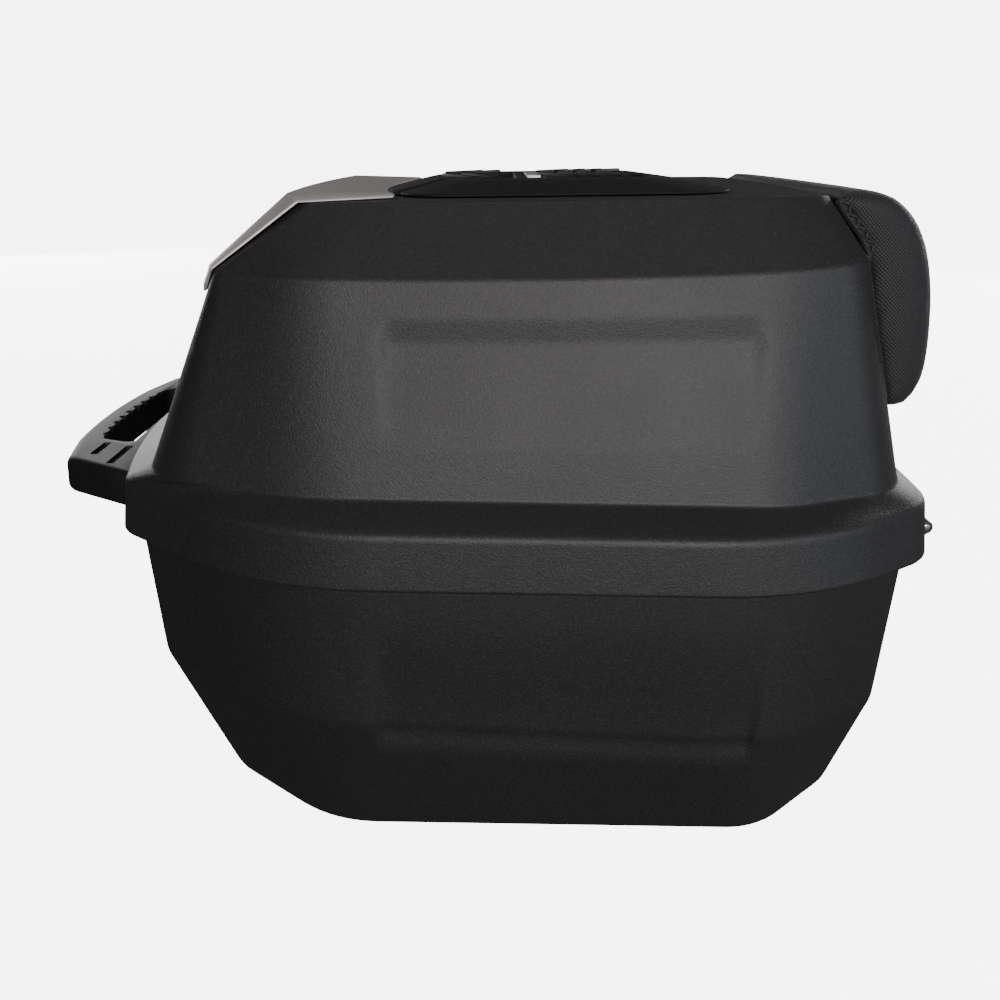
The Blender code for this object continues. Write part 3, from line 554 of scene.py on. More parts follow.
def rounded(obj: bpy.types.Object, width: float, steps: int = 2, angle: float = 35.0) -> bpy.types.Object:
    """Round an object's sharp edges.

    Args:
        obj: The object.
        width: The bevel's width.
        steps: How many faces a rounded edge has.
        angle: The bluntest edge that is rounded, in degrees.

    Returns:
        The same object.
    """
    step = obj.modifiers.new("rounding", "BEVEL")
    step.width = width
    step.segments = steps
    step.limit_method = "ANGLE"
    step.angle_limit = math.radians(angle)
    step.use_clamp_overlap = True
    step.harden_normals = False
    return baked(obj)


class Join(Enum):
    """What a Boolean does with its tools."""

    CUT = "DIFFERENCE"
    ADD = "UNION"


def combined(target: bpy.types.Object, tools: Iterable[bpy.types.Object],
             how: Join = Join.CUT) -> bpy.types.Object:
    """Cut tools from an object, or join them to it, and remove the tools.

    Args:
        target: The object.
        tools: The closed objects to cut or join with.
        how: Whether they are cut or joined.

    Returns:
        The target.
    """
    tools = list(tools)
    for tool in tools:
        step = target.modifiers.new("with_" + tool.name, "BOOLEAN")
        step.operation = how.value
        step.object = tool
        step.solver = "MANIFOLD"
    baked(target)
    for tool in tools:
        bpy.data.objects.remove(tool, do_unlink=True)
    return target


def block(name: str, low: Place, high: Place) -> bpy.types.Object:
    """A block between two corners.

    Args:
        name: The object's name.
        low: The lowest corner.
        high: The highest corner.

    Returns:
        The object.
    """
    work = bmesh.new()
    bmesh.ops.create_cube(work, size=1.0)
    bmesh.ops.scale(work, vec=Vector(high) - Vector(low), verts=work.verts)
    bmesh.ops.translate(work, vec=(Vector(high) + Vector(low)) / 2, verts=work.verts)
    return from_bmesh(name, work)


def rod(name: str, start: Place, end: Place, radius: float, sides: int = 32) -> bpy.types.Object:
    """A round rod between two points.

    Args:
        name: The object's name.
        start: One end's centre.
        end: The other end's centre.
        radius: The rod's radius.
        sides: How many sides it has.

    Returns:
        The object.
    """
    first, last = Vector(start), Vector(end)
    turn = (last - first).to_track_quat("Z", "Y").to_matrix().to_4x4()
    work = bmesh.new()
    bmesh.ops.create_cone(work, cap_ends=True, segments=sides, radius1=radius, radius2=radius,
                          depth=(last - first).length, matrix=Matrix.Translation((first + last) / 2) @ turn)
    return from_bmesh(name, work)


class Axis(Enum):
    """The axis that an outline is pushed along."""

    Y = "Y"
    Z = "Z"


def extruded(name: str, outline: Sequence[Pair], axis: Axis, low: float, high: float) -> bpy.types.Object:
    """Push a flat outline along an axis.

    Args:
        name: The object's name.
        outline: Points as X, Z for axis Y, or X, Y for axis Z.
        axis: The axis.
        low: Where the solid starts on the axis.
        high: Where it ends.

    Returns:
        The object.
    """
    work = bmesh.new()
    along_y = axis is Axis.Y
    corners = [work.verts.new((a, low, b) if along_y else (a, b, low)) for a, b in outline]
    pushed = bmesh.ops.extrude_face_region(work, geom=[work.faces.new(corners)])
    moved = [item for item in pushed["geom"] if isinstance(item, bmesh.types.BMVert)]
    run = high - low
    bmesh.ops.translate(work, vec=(0.0, run, 0.0) if along_y else (0.0, 0.0, run), verts=moved)
    return from_bmesh(name, work)


def arc(centre: Pair, radius: float, start: float, end: float, steps: int) -> list[Pair]:
    """Points on an arc, both ends included.

    Args:
        centre: The arc's centre.
        radius: Its radius.
        start: The first point's angle, in degrees.
        end: The last point's angle.
        steps: How many chords it has.

    Returns:
        The points.
    """
    turns = [math.radians(start + (end - start) * i / steps) for i in range(steps + 1)]
    return [(centre[0] + radius * math.cos(a), centre[1] + radius * math.sin(a)) for a in turns]


def fillet(before: Sequence[float], corner: Sequence[float], after: Sequence[float], radius: float,
           steps: int) -> list[Pair]:
    """The arc that rounds a corner between its two neighbours.

    Args:
        before: The point before the corner.
        corner: The corner.
        after: The point after it.
        radius: The arc's radius.
        steps: How many chords it has.

    Returns:
        The arc's points.
    """
    tip = Vector(corner[:2])
    back, on = (Vector(before[:2]) - tip).normalized(), (Vector(after[:2]) - tip).normalized()
    half = back.angle(on) / 2
    reach = radius / math.tan(half)
    centre = tip + (back + on).normalized() * radius / math.sin(half)
    first, last = tip + back * reach - centre, tip + on * reach - centre
    start = math.atan2(first.y, first.x)
    sweep = (math.atan2(last.y, last.x) - start + math.pi) % (2 * math.pi) - math.pi
    angles = [start + sweep * i / steps for i in range(steps + 1)]
    return [(centre.x + radius * math.cos(a), centre.y + radius * math.sin(a)) for a in angles]


def refined(nodes: Sequence[str], width: float, steps: int = 2) -> list[bpy.types.Object]:
    """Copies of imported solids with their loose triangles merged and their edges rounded.

    Args:
        nodes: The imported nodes' names.
        width: The rounding's width.
        steps: How many faces a rounded edge has.

    Returns:
        One object for each node, which stands for it.
    """
    made = []
    for node in nodes:
        work = bmesh.new()
        work.from_mesh(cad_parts[node].data)
        bmesh.ops.remove_doubles(work, verts=work.verts, dist=MERGE)
        bmesh.ops.dissolve_limit(work, angle_limit=math.radians(2.0), verts=work.verts, edges=work.edges)
        piece = from_bmesh(node + "_fine", work)
        rounded(piece, width, steps)
        smooth(piece)
        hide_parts(node)
        made.append(piece)
    return made


def dressed(piece: bpy.types.Object, body: Body, finish: bpy.types.Material) -> bpy.types.Object:
    """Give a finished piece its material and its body.

    Args:
        piece: The piece.
        body: The body that it moves with.
        finish: Its material.

    Returns:
        The piece.
    """
    piece.data.materials.clear()
    piece.data.materials.append(finish)
    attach(piece, body.value)
    LOG.info("%s on %s, %d faces", piece.name, body.value, len(piece.data.polygons))
    return piece


@dataclass(frozen=True)
class Packed:
    """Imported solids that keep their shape: how round their edges become, and how they are dressed."""

    nodes: Sequence[str]
    width: float
    body: Body
    slot: Slot
    finish: bpy.types.Material
    steps: int = 2

    def make(self) -> None:
        """Round the solids' edges and dress them."""
        for piece in refined(self.nodes, self.width, self.steps):
            dressed(piece, self.body, self.finish)


def repaint(node: str, finish: bpy.types.Material) -> None:
    """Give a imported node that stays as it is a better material.

    Args:
        node: The node's name.
        finish: The material.
    """
    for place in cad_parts[node].material_slots:
        place.material = finish


# ---------------------------------------------------------------------------------------------------------
# Geometry Nodes for what repeats
# ---------------------------------------------------------------------------------------------------------
@dataclass
class Scatter:
    """Copies one small shape onto a list of places, each turned to its own direction."""

    name: str
    finish: bpy.types.Material
    places: list[tuple[Vector, Vector, float]] = field(default_factory=list)

    def tree(self) -> bpy.types.NodeTree:
        """Build the tree: points, instances turned by their direction, realised, with one material.

        Returns:
            The node tree.
        """
        tree = bpy.data.node_groups.new(self.name + "_tree", "GeometryNodeTree")
        for name, kind in (("Points", "Geometry"), ("Shape", "Object"), ("Size", "Float"),
                           ("Finish", "Material")):
            tree.interface.new_socket(name, in_out="INPUT", socket_type="NodeSocket" + kind)
        tree.interface.new_socket("Result", in_out="OUTPUT", socket_type="NodeSocketGeometry")
        graph = Graph(tree)
        given = graph.add("NodeGroupInput")
        shape = graph.add("GeometryNodeObjectInfo", Object=given.outputs["Shape"])
        way = graph.add("GeometryNodeInputNamedAttribute", {"data_type": "FLOAT_VECTOR"}, Name="way")
        side = graph.add("GeometryNodeInputNamedAttribute", {"data_type": "FLOAT_VECTOR"}, Name="side")
        scale = graph.add("GeometryNodeInputNamedAttribute", {"data_type": "FLOAT"}, Name="scale")
        turn = graph.add("FunctionNodeAlignRotationToVector", {"axis": "Z"}, Vector=way.outputs[0])
        turn = graph.add("FunctionNodeAlignRotationToVector", {"axis": "X", "pivot_axis": "Z"},
                         Rotation=turn.outputs[0], Vector=side.outputs[0])
        size = graph.math("MULTIPLY", scale.outputs[0], given.outputs["Size"])
        copies = graph.add("GeometryNodeInstanceOnPoints", Points=given.outputs["Points"],
                           Instance=shape.outputs["Geometry"], Rotation=turn.outputs[0], Scale=size)
        real = graph.add("GeometryNodeRealizeInstances", Geometry=copies.outputs[0])
        painted = graph.add("GeometryNodeSetMaterial", Geometry=real.outputs[0],
                            Material=given.outputs["Finish"])
        result = graph.add("NodeGroupOutput")
        tree.links.new(painted.outputs[0], result.inputs[0])
        return tree

    def make(self, shape: bpy.types.Object, side: Place = (0.0, 0.0, 1.0),
             sides: Optional[Sequence[Vector]] = None) -> bpy.types.Object:
        """Copy a shape onto the places, as one plain mesh, and remove the shape.

        Args:
            shape: The small shape, about the origin, with +Z along each place's direction.
            side: The direction that the shape's +X turns towards.
            sides: One such direction for each place, in place of side.

        Returns:
            The object that holds all the copies.
        """
        mesh = bpy.data.meshes.new(self.name)
        mesh.from_pydata([spot for spot, _, _ in self.places], [], [])
        rows = [list(way) for _, way, _ in self.places]
        turned = [list(one) for one in sides] if sides else [list(side)] * len(rows)
        for name, values in (("way", rows), ("side", turned)):
            mesh.attributes.new(name, "FLOAT_VECTOR", "POINT").data.foreach_set(
                "vector", np.array(values, np.float32).ravel())
        mesh.attributes.new("scale", "FLOAT", "POINT").data.foreach_set(
            "value", np.array([scale for _, _, scale in self.places], np.float32))
        made = new_object(self.name, mesh)
        step = made.modifiers.new("scatter", "NODES")
        step.node_group = self.tree()
        sockets = step.node_group.interface.items_tree
        known = {item.name: item.identifier for item in sockets if item.in_out == "INPUT"}
        step[known["Shape"]] = shape
        step[known["Size"]] = 1.0
        step[known["Finish"]] = self.finish
        baked(made)
        bpy.data.objects.remove(shape, do_unlink=True)
        return smooth(made)


def ringed(work: bmesh.types.BMesh, rings: Sequence[Sequence[bmesh.types.BMVert]],
           looped: bool = False) -> None:
    """Join each closed ring of vertices to the next with four-sided faces.

    Args:
        work: The bmesh.
        rings: The rings, with the same number of vertices in each.
        looped: Whether the last ring joins the first.
    """
    for low, high in list(zip(rings, rings[1:])) + ([(rings[-1], rings[0])] if looped else []):
        for i in range(len(low)):
            j = (i + 1) % len(low)
            work.faces.new((low[i], low[j], high[j], high[i]))


def strip(work: bmesh.types.BMesh, low: Sequence[bmesh.types.BMVert],
          high: Sequence[bmesh.types.BMVert]) -> None:
    """Join two open lines of vertices with four-sided faces.

    Args:
        work: The bmesh.
        low: One line.
        high: The other line, with as many vertices.
    """
    for i in range(len(low) - 1):
        work.faces.new((low[i], low[i + 1], high[i + 1], high[i]))


def turned_shape(name: str, profile: Sequence[Pair], sides: int) -> bpy.types.Object:
    """Turn a profile round +Z, closed where it ends on the axis.

    Args:
        name: The object's name.
        profile: Points as radius and height, the first and last on the axis.
        sides: How many sides the shape has.

    Returns:
        The object.
    """
    work = bmesh.new()
    rings = []
    for radius, height in profile[1:-1]:
        angles = [2 * math.pi * i / sides for i in range(sides)]
        rings.append([work.verts.new((radius * math.cos(a), radius * math.sin(a), height)) for a in angles])
    ringed(work, rings)
    for ring, height in ((rings[0], profile[0][1]), (rings[-1], profile[-1][1])):
        tip = work.verts.new((0.0, 0.0, height))
        for i in range(sides):
            work.faces.new((ring[i], ring[(i + 1) % sides], tip))
    return from_bmesh(name, work)


@dataclass
class Screws:
    """Screws of one size on one body: each has a domed head with a socket, on a plain shank."""

    name: str
    body: Body
    nodes: Sequence[str]
    finish: bpy.types.Material
    head_radius: float = 0.0034
    head_height: float = 0.0020
    shank_radius: float = 0.0016

    def screw(self, shank: float) -> bpy.types.Object:
        """Turn one screw, with its bearing face at the origin and its shank along +Z.

        Args:
            shank: The shank's length.

        Returns:
            The screw.
        """
        r, h = self.head_radius, self.head_height
        socket = [(0.0, -h * 0.35), (r * 0.40, -h * 0.35), (r * 0.44, -h * 1.06)]
        dome = [(r * 0.52, -h * 1.12), (r * 0.84, -h * 0.86), (r * 0.97, -h * 0.50), (r, -h * 0.20),
                (r * 0.97, 0.0)]
        stem = [(self.shank_radius, 0.0), (self.shank_radius, shank), (0.0, shank)]
        return turned_shape("screw_shape", socket + dome + stem, 18)

    def make(self) -> bpy.types.Object:
        """Put a screw where each packed one is.

        Returns:
            The screws as one piece.
        """
        scatter, shanks = Scatter(self.name, self.finish), []
        for node in self.nodes:
            points = np.array([v.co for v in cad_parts[node].data.vertices], float)
            head, way, radius, reach = self.measure(points)
            scatter.places.append((head, way, radius / self.head_radius))
            shanks.append(reach * self.head_radius / radius)
        made = scatter.make(self.screw(min(shanks)))
        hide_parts(*self.nodes)
        return dressed(made, self.body, self.finish)

    @staticmethod
    def measure(points: np.ndarray) -> tuple[Vector, Vector, float, float]:
        """Find a packed screw's bearing face, its direction, its head's radius and its shank's length.

        Args:
            points: The screw's vertices.

        Returns:
            The centre of the bearing face, the way that the shank runs, the head's radius and the
            shank's length.
        """
        centred = points - points.mean(axis=0)
        _, _, axes = np.linalg.svd(centred, full_matrices=False)
        best = None
        for axis in axes:
            along = centred @ axis
            out = np.linalg.norm(centred - np.outer(along, axis), axis=1)
            spread = np.ptp(out[out > 0.6 * out.max()])
            if best is None or spread < best[0]:
                best = (spread, axis, along, out)
        _, axis, along, out = best
        rim = out > 0.85 * out.max()
        middle = points[rim].mean(axis=0)
        if (centred[rim] @ axis).mean() > (along.max() + along.min()) / 2:
            axis = -axis
        bearing = middle + axis * ((points[rim] - middle) @ axis).max()
        return Vector(bearing), Vector(axis), float(out.max()), float(((points - bearing) @ axis).max())


# ---------------------------------------------------------------------------------------------------------
# Rounded plans and skins
# ---------------------------------------------------------------------------------------------------------
@dataclass(frozen=True)
class Plan:
    """One closed outline seen from above, given by its half at positive Y; a corner is X, Y and radius."""

    rear: float
    rear_corner: Corner
    rear_shoulder: Corner
    front_shoulder: Corner
    front_corner: Corner
    front: float

    def rear_x(self, y: float) -> float:
        """X of the bowed rear end at a distance from the centre plane."""
        return self.rear + (self.rear_corner[0] - self.rear) * (y / self.rear_corner[1]) ** 2

    def front_x(self, y: float) -> float:
        """X of the bowed front end at a distance from the centre plane."""
        return self.front + (self.front_corner[0] - self.front) * (y / self.front_corner[1]) ** 2

    def end_line(self, middle: float, last: Pair, count: int) -> list[Pair]:
        """A bowed end line from the centre plane to a corner's arc.

        Args:
            middle: X on the centre plane.
            last: The arc's first point.
            count: How many points, without the last.

        Returns:
            The points.
        """
        shares = [i / count for i in range(count)]
        return [(middle + (last[0] - middle) * s * s, last[1] * s) for s in shares]

    def half(self, panel: Sequence[float]) -> list[Pair]:
        """The outline's half at positive Y, with the same number of points in every plan.

        Args:
            panel: The X at which a side panel's two steps start and end.

        Returns:
            The points, from the rear to the front.
        """
        rear_mid = (self.rear + (self.rear_corner[0] - self.rear) * 0.2, self.rear_corner[1] * 0.45)
        front_mid = (self.front + (self.front_corner[0] - self.front) * 0.2, self.front_corner[1] * 0.45)
        rear = fillet(rear_mid, self.rear_corner, self.rear_shoulder, self.rear_corner[2], 12)
        front = fillet(self.front_shoulder, self.front_corner, front_mid, self.front_corner[2], 12)
        side = [rear[-1]]
        side += fillet(self.rear_corner, self.rear_shoulder, self.front_shoulder, self.rear_shoulder[2], 48)
        side += fillet(self.rear_shoulder, self.front_shoulder, self.front_corner, self.front_shoulder[2], 48)
        side.append(front[0])
        stops = [rear[-1][0], *panel, front[0][0]]
        counts = (16, 6, 26, 6, 12)
        columns = [a + (b - a) * i / n for a, b, n in zip(stops, stops[1:], counts) for i in range(n)][1:]
        xs, ys = zip(*side)
        walls = [(x, float(np.interp(x, xs, ys))) for x in columns]
        return (self.end_line(self.rear, rear[0], 10) + rear + walls + front
                + self.end_line(self.front, front[-1], 10)[::-1])

    def level(self, height: float | Callable[[float], float], panel: Sequence[float],
              inset: float = 0.0) -> np.ndarray:
        """The outline's half at a height.

        Args:
            height: The height, or a function of X that gives it.
            panel: As for half.
            inset: How far the outline is moved inwards.

        Returns:
            One row of X, Y, Z for each point.
        """
        flat = np.array(self.half(panel))
        if inset:
            ends = np.vstack([flat[1] * (1, -1), flat, flat[-2] * (1, -1)])
            run = ends[2:] - ends[:-2]
            run /= np.linalg.norm(run, axis=1)[:, None]
            flat = flat + np.column_stack([run[:, 1], -run[:, 0]]) * inset
        heights = [height(x) if callable(height) else height for x in flat[:, 0]]
        return np.column_stack([flat, heights])


def rounded_rows(levels: Sequence[np.ndarray], radii: Sequence[float], runs: Sequence[int],
                 steps: int = 6) -> list[np.ndarray]:
    """Rows of a skin through levels, with each inner level rounded.

    Args:
        levels: The skin's levels, as rows of points.
        radii: How far each inner level's rounding reaches.
        runs: How many rows lie between two roundings.
        steps: How many rows a rounding has.

    Returns:
        The rows.
    """
    rows, last = [], levels[0]
    for index in range(1, len(levels)):
        here = levels[index]
        if index < len(levels) - 1:
            back, on = levels[index - 1] - here, levels[index + 1] - here
            back_len = np.linalg.norm(back, axis=1)[:, None]
            on_len = np.linalg.norm(on, axis=1)[:, None]
            start = here + back / back_len * np.minimum(radii[index - 1], 0.45 * back_len)
            end = here + on / on_len * np.minimum(radii[index - 1], 0.45 * on_len)
        else:
            start = end = here
        count = runs[index - 1] + 1
        rows += [last + (start - last) * (0.5 - 0.5 * math.cos(math.pi * i / count)) for i in range(count)]
        if index < len(levels) - 1:
            shares = [i / steps for i in range(steps)]
            rows += [(1 - s) ** 2 * start + 2 * s * (1 - s) * here + s * s * end for s in shares]
        last = end
    return rows + [last]


def skin(name: str, rows: Sequence[np.ndarray], capped: bool = True, looped: bool = False,
         footed: bool = False) -> bpy.types.Object:
    """A surface through half rows and their mirror images.

    Args:
        name: The object's name.
        rows: The half rows, from the centre plane's rear to its front.
        capped: Whether the last row is closed by a flat face.
        looped: Whether the last row joins the first.
        footed: Whether the first row is closed by a flat face.

    Returns:
        The object.
    """
    work = bmesh.new()
    rings = []
    for row in rows:
        mirrored = row[-2:0:-1] * (1.0, -1.0, 1.0)
        rings.append([work.verts.new(point) for point in np.vstack([row, mirrored])])
    ringed(work, rings, looped)
    if capped:
        work.faces.new(rings[-1])
    if footed:
        work.faces.new(rings[0])
    return from_bmesh(name, work)


def thickened(obj: bpy.types.Object, wall: float) -> bpy.types.Object:
    """Give a skin a wall, inwards.

    Args:
        obj: The skin.
        wall: The wall's thickness.

    Returns:
        The same object.
    """
    step = obj.modifiers.new("wall", "SOLIDIFY")
    step.thickness = wall
    step.offset = -1.0
    step.use_even_offset = False
    return baked(obj)


def ease(value: np.ndarray, low: float, high: float) -> np.ndarray:
    """A change from 0 at low to 1 at high that eases in and out.

    Args:
        value: The values.
        low: Where the change starts.
        high: Where it ends.

    Returns:
        The eased values.
    """
    share = np.clip((value - low) / (high - low), 0.0, 1.0)
    return share * share * (3 - 2 * share)


def lid_crease_z(x: float | np.ndarray) -> float | np.ndarray:
    """The height of the lid's crease, which rises towards the front."""
    return 0.2998 + 0.025 * x + 0.15 * x * x


def lid_top_z(x: float) -> float:
    """The height of the lid's flat top."""
    return 0.3343 + 0.030 * x


def base_crease_z(x: float | np.ndarray) -> float | np.ndarray:
    """The height of the base's crease, which falls towards the front."""
    return 0.0799 - 0.0355 * x


@dataclass
class Hinge:
    """The hinges' axis and the lugs on both shells."""

    x: float = 0.243
    z: float = 0.159
    knuckle: float = 0.0038
    base_lugs: Sequence[Pair] = ((0.070, 0.078), (0.104, 0.112))
    lid_lug: Pair = (0.0785, 0.1035)
    bore: float = 0.0023

    def bored(self, piece: bpy.types.Object) -> bpy.types.Object:
        """Bore the pin's hole through a lug, and round the lug's edges.

        Args:
            piece: The lug.

        Returns:
            The lug.
        """
        rounded(piece, 0.0006, 2)
        low, high = piece.bound_box[0][1] - 0.01, piece.bound_box[6][1] + 0.01
        hole = rod("lug_bore", (self.x, low, self.z), (self.x, high, self.z), self.bore)
        return smooth(combined(piece, [hole]))

    def on_base(self) -> list[bpy.types.Object]:
        """The base's four lugs.

        Returns:
            One piece for each lug.
        """
        outline = [(0.2190, 0.1603), (self.x - 0.003, 0.1603)]
        outline += arc((self.x, self.z), self.knuckle, 110, -70, 20) + [(0.2178, 0.1390)]
        made = []
        for side, word in SIDES:
            for index, (near, far) in enumerate(self.base_lugs):
                low, high = sorted((side * near, side * far))
                made.append(self.bored(extruded(f"base_lug_{word}_{index + 1}", outline, Axis.Y, low, high)))
        return made

    def on_lid(self) -> list[bpy.types.Object]:
        """The lid's two lugs.

        Returns:
            One piece for each lug.
        """
        outline = [(0.2284, 0.1775), (0.2325, 0.1775)]
        outline += arc((self.x, self.z), self.knuckle, 50, -150, 22) + [(0.2325, 0.1612), (0.2284, 0.1612)]
        made = []
        for side, word in SIDES:
            low, high = sorted((side * self.lid_lug[0], side * self.lid_lug[1]))
            made.append(self.bored(extruded(f"lid_lug_{word}", outline, Axis.Y, low, high)))
        return made


@dataclass
class BaseTub:
    """The base: a tub with sloped walls, a sunk panel on each side, and its openings."""

    top: Plan = Plan(-0.2005, (-0.1825, 0.1360, 0.025), (-0.1005, 0.2030, 0.140),
                     (0.1470, 0.2030, 0.140), (0.2185, 0.1475, 0.036), 0.2235)
    crease: Plan = Plan(-0.1940, (-0.1768, 0.1325, 0.028), (-0.0950, 0.1960, 0.130),
                        (0.1420, 0.1960, 0.130), (0.2145, 0.1440, 0.035), 0.2180)
    foot: Plan = Plan(-0.1530, (-0.1440, 0.1130, 0.030), (-0.0820, 0.1625, 0.070),
                      (0.1500, 0.1620, 0.045), (0.2022, 0.1140, 0.035), 0.2085)
    panel: Sequence[float] = (-0.0565, -0.0480, 0.1300, 0.1390)
    panel_depth: float = 0.0045
    rim_z: float = 0.180
    edge_z: float = 0.161
    foot_share: float = 0.936
    wall: float = 0.003
    hook_x: float = 0.098
    hook_y: float = 0.075

    def rows(self) -> list[np.ndarray]:
        """The skin's rows, with the side panels sunk.

        Returns:
            The rows, from the rim down to the foot.
        """
        crease = self.crease.level(base_crease_z, self.panel)
        foot = self.foot.level(0.0, self.panel)
        levels = [self.top.level(self.rim_z, self.panel),
                  self.top.level(self.edge_z, self.panel, -0.0015),
                  crease,
                  crease + (foot - crease) * self.foot_share,
                  self.foot.level(0.0, self.panel, 0.003),
                  self.foot.level(0.0, self.panel, 0.006)]
        rows = rounded_rows(levels, (0.004, 0.0030, 0.006, 0.0015), (2, 22, 16, 1, 1))
        return [self.sunk(row) for row in rows]

    def sunk(self, row: np.ndarray) -> np.ndarray:
        """Push the points of a row that lie in a side panel towards the centre plane.

        Args:
            row: The row's points.

        Returns:
            The moved row.
        """
        x, z = row[:, 0], row[:, 2]
        crease = base_crease_z(x)
        above = ease((self.edge_z - z) / (self.edge_z - crease), 0.20, 1.05)
        below = 1.0 - ease((crease - z) / crease, 0.02, 0.24)
        across = ease(x, self.panel[0], self.panel[1]) * (1.0 - ease(x, self.panel[2], self.panel[3]))
        moved = row.copy()
        moved[:, 1] -= self.panel_depth * above * below * across
        return moved

    def cutters(self) -> list[bpy.types.Object]:
        """The tools that open the base for the lock, the quick release and the carrier's hooks.

        Returns:
            The tools.
        """
        tools = [rod("plunger_cut", (-0.215, 0.0, 0.134), (-0.185, 0.0, 0.134), 0.009),
                 block("tongue_cut", (-0.1250, -0.0200, -0.004), (-0.0820, 0.0200, 0.006)),
                 block("release_cut", (-0.185, -0.0213, 0.0120), (-0.1400, 0.0213, 0.0325))]
        for side in (-1, 1):
            middle = side * self.hook_y
            tools.append(block(f"hook_cut_{side:+d}", (0.102, middle - 0.019, -0.004),
                               (0.120, middle + 0.019, 0.0125)))
        return tools

    def build(self, finishes: Finishes) -> None:
        """Make the base's shell and its lugs, and dress them.

        Args:
            finishes: The finishes.
        """
        shell = thickened(skin("base_tub", self.rows()), self.wall)
        blocks = [block(f"hook_block_{side:+d}", (self.hook_x, side * self.hook_y - 0.023, 0.001),
                        (0.124, side * self.hook_y + 0.023, 0.0160)) for side in (-1, 1)]
        combined(shell, blocks, Join.ADD)
        combined(shell, self.cutters())
        smooth(shell, 28.0)
        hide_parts("base_shell")
        dressed(shell, Body.BASE, finishes.base)
        for lug in Hinge().on_base():
            dressed(lug, Body.BASE, finishes.base)


@dataclass
class LidShell:
    """The lid: skirt, ledge, leaning walls with a sunk panel, upper facets and a flat top."""

    skirt_foot: Plan = Plan(-0.2105, (-0.1910, 0.1430, 0.025), (-0.1044, 0.2110, 0.150),
                            (0.1530, 0.2110, 0.150), (0.2265, 0.1590, 0.038), 0.2320)
    skirt_top: Plan = Plan(-0.2085, (-0.1895, 0.1407, 0.022), (-0.1034, 0.2105, 0.151),
                           (0.1490, 0.2105, 0.155), (0.2260, 0.1525, 0.040), 0.2310)
    foot: Plan = Plan(-0.1890, (-0.1705, 0.1615, 0.042), (-0.0850, 0.1890, 0.150),
                      (0.1400, 0.1895, 0.070), (0.2095, 0.1590, 0.042), 0.2195)
    crease: Plan = Plan(-0.1460, (-0.1345, 0.1530, 0.012), (-0.0900, 0.1700, 0.100),
                        (0.1400, 0.1700, 0.100), (0.1840, 0.1530, 0.030), 0.1900)
    top: Plan = Plan(-0.1000, (-0.0945, 0.1360, 0.008), (-0.0500, 0.1410, 0.050),
                     (0.1350, 0.1410, 0.050), (0.1665, 0.1330, 0.020), 0.1720)
    panel: Sequence[float] = (-0.0545, -0.0455, 0.1205, 0.1320)
    panel_depth: float = 0.0022
    skirt_foot_z: float = 0.161
    skirt_top_z: float = 0.189
    foot_z: float = 0.198
    wall: float = 0.003

    def rows(self) -> list[np.ndarray]:
        """The skin's rows, with the side panels sunk.

        Returns:
            The rows, from the skirt's foot up to the top.
        """
        levels = [self.skirt_foot.level(self.skirt_foot_z, self.panel, 0.0010),
                  self.skirt_foot.level(self.skirt_foot_z + 0.0012, self.panel),
                  self.skirt_top.level(self.skirt_top_z, self.panel),
                  self.foot.level(self.foot_z, self.panel),
                  self.crease.level(lid_crease_z, self.panel),
                  self.top.level(lid_top_z, self.panel),
                  self.top.level(lid_top_z, self.panel, 0.007)]
        rows = rounded_rows(levels, (0.0008, 0.0032, 0.0016, 0.0016, 0.0020), (0, 7, 3, 62, 12, 1))
        return [self.sunk(row) for row in rows]

    def sunk(self, row: np.ndarray) -> np.ndarray:
        """Push the points of a row that lie in a side panel towards the centre plane.

        Args:
            row: The row's points.

        Returns:
            The moved row.
        """
        x, z = row[:, 0], row[:, 2]
        crease = lid_crease_z(x)
        share = (z - self.foot_z) / (crease - self.foot_z)
        rising = np.clip((share - 0.24) / 0.47, 0.0, 1.0)
        closing = 1.0 - np.clip((share - 0.712) / 0.118, 0.0, 1.0)
        across = ease(x, self.panel[0], self.panel[1]) * (1.0 - ease(x, self.panel[2], self.panel[3]))
        moved = row.copy()
        moved[:, 1] -= self.panel_depth * rising * closing * across
        return moved

    def build(self, finishes: Finishes) -> None:
        """Make the lid's shell and its lugs, and dress them.

        Args:
            finishes: The finishes.
        """
        shell = thickened(skin("lid_cap", self.rows()), self.wall)
        notch = block("handle_notch", (-0.270, -0.1300, 0.150), (-0.1800, 0.1300, 0.1868))
        combined(shell, [notch])
        boss = block("striker_boss", (-0.1944, -0.018, 0.1862), (-0.1845, 0.018, 0.1938))
        combined(shell, [boss], Join.ADD)
        smooth(shell, 28.0)
        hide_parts("lid_shell")
        dressed(shell, Body.LID, finishes.lid)
        for lug in Hinge().on_lid():
            dressed(lug, Body.LID, finishes.lid)


@dataclass
class RimSeal:
    """The rubber seal between the rim and the lid's ledge, with two lips."""

    rim: Plan = BaseTub.top
    panel: Sequence[float] = LidShell.panel

    def build(self, finishes: Finishes) -> None:
        """Make and dress the seal.

        Args:
            finishes: The finishes.
        """
        section = ((0.0002, 0.1804), (0.0045, 0.1804), (0.0047, 0.1850), (0.0043, 0.1886), (0.0036, 0.1888),
                   (0.0030, 0.1862), (0.0020, 0.1854), (0.0012, 0.1872), (0.0004, 0.1868), (0.0000, 0.1840))
        rows = [self.rim.level(height, self.panel, inset) for inset, height in section]
        seal = smooth(skin("rim_seal_lips", rows, capped=False, looped=True), 50.0)
        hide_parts("rim_seal")
        dressed(seal, Body.BASE, finishes.rubber)


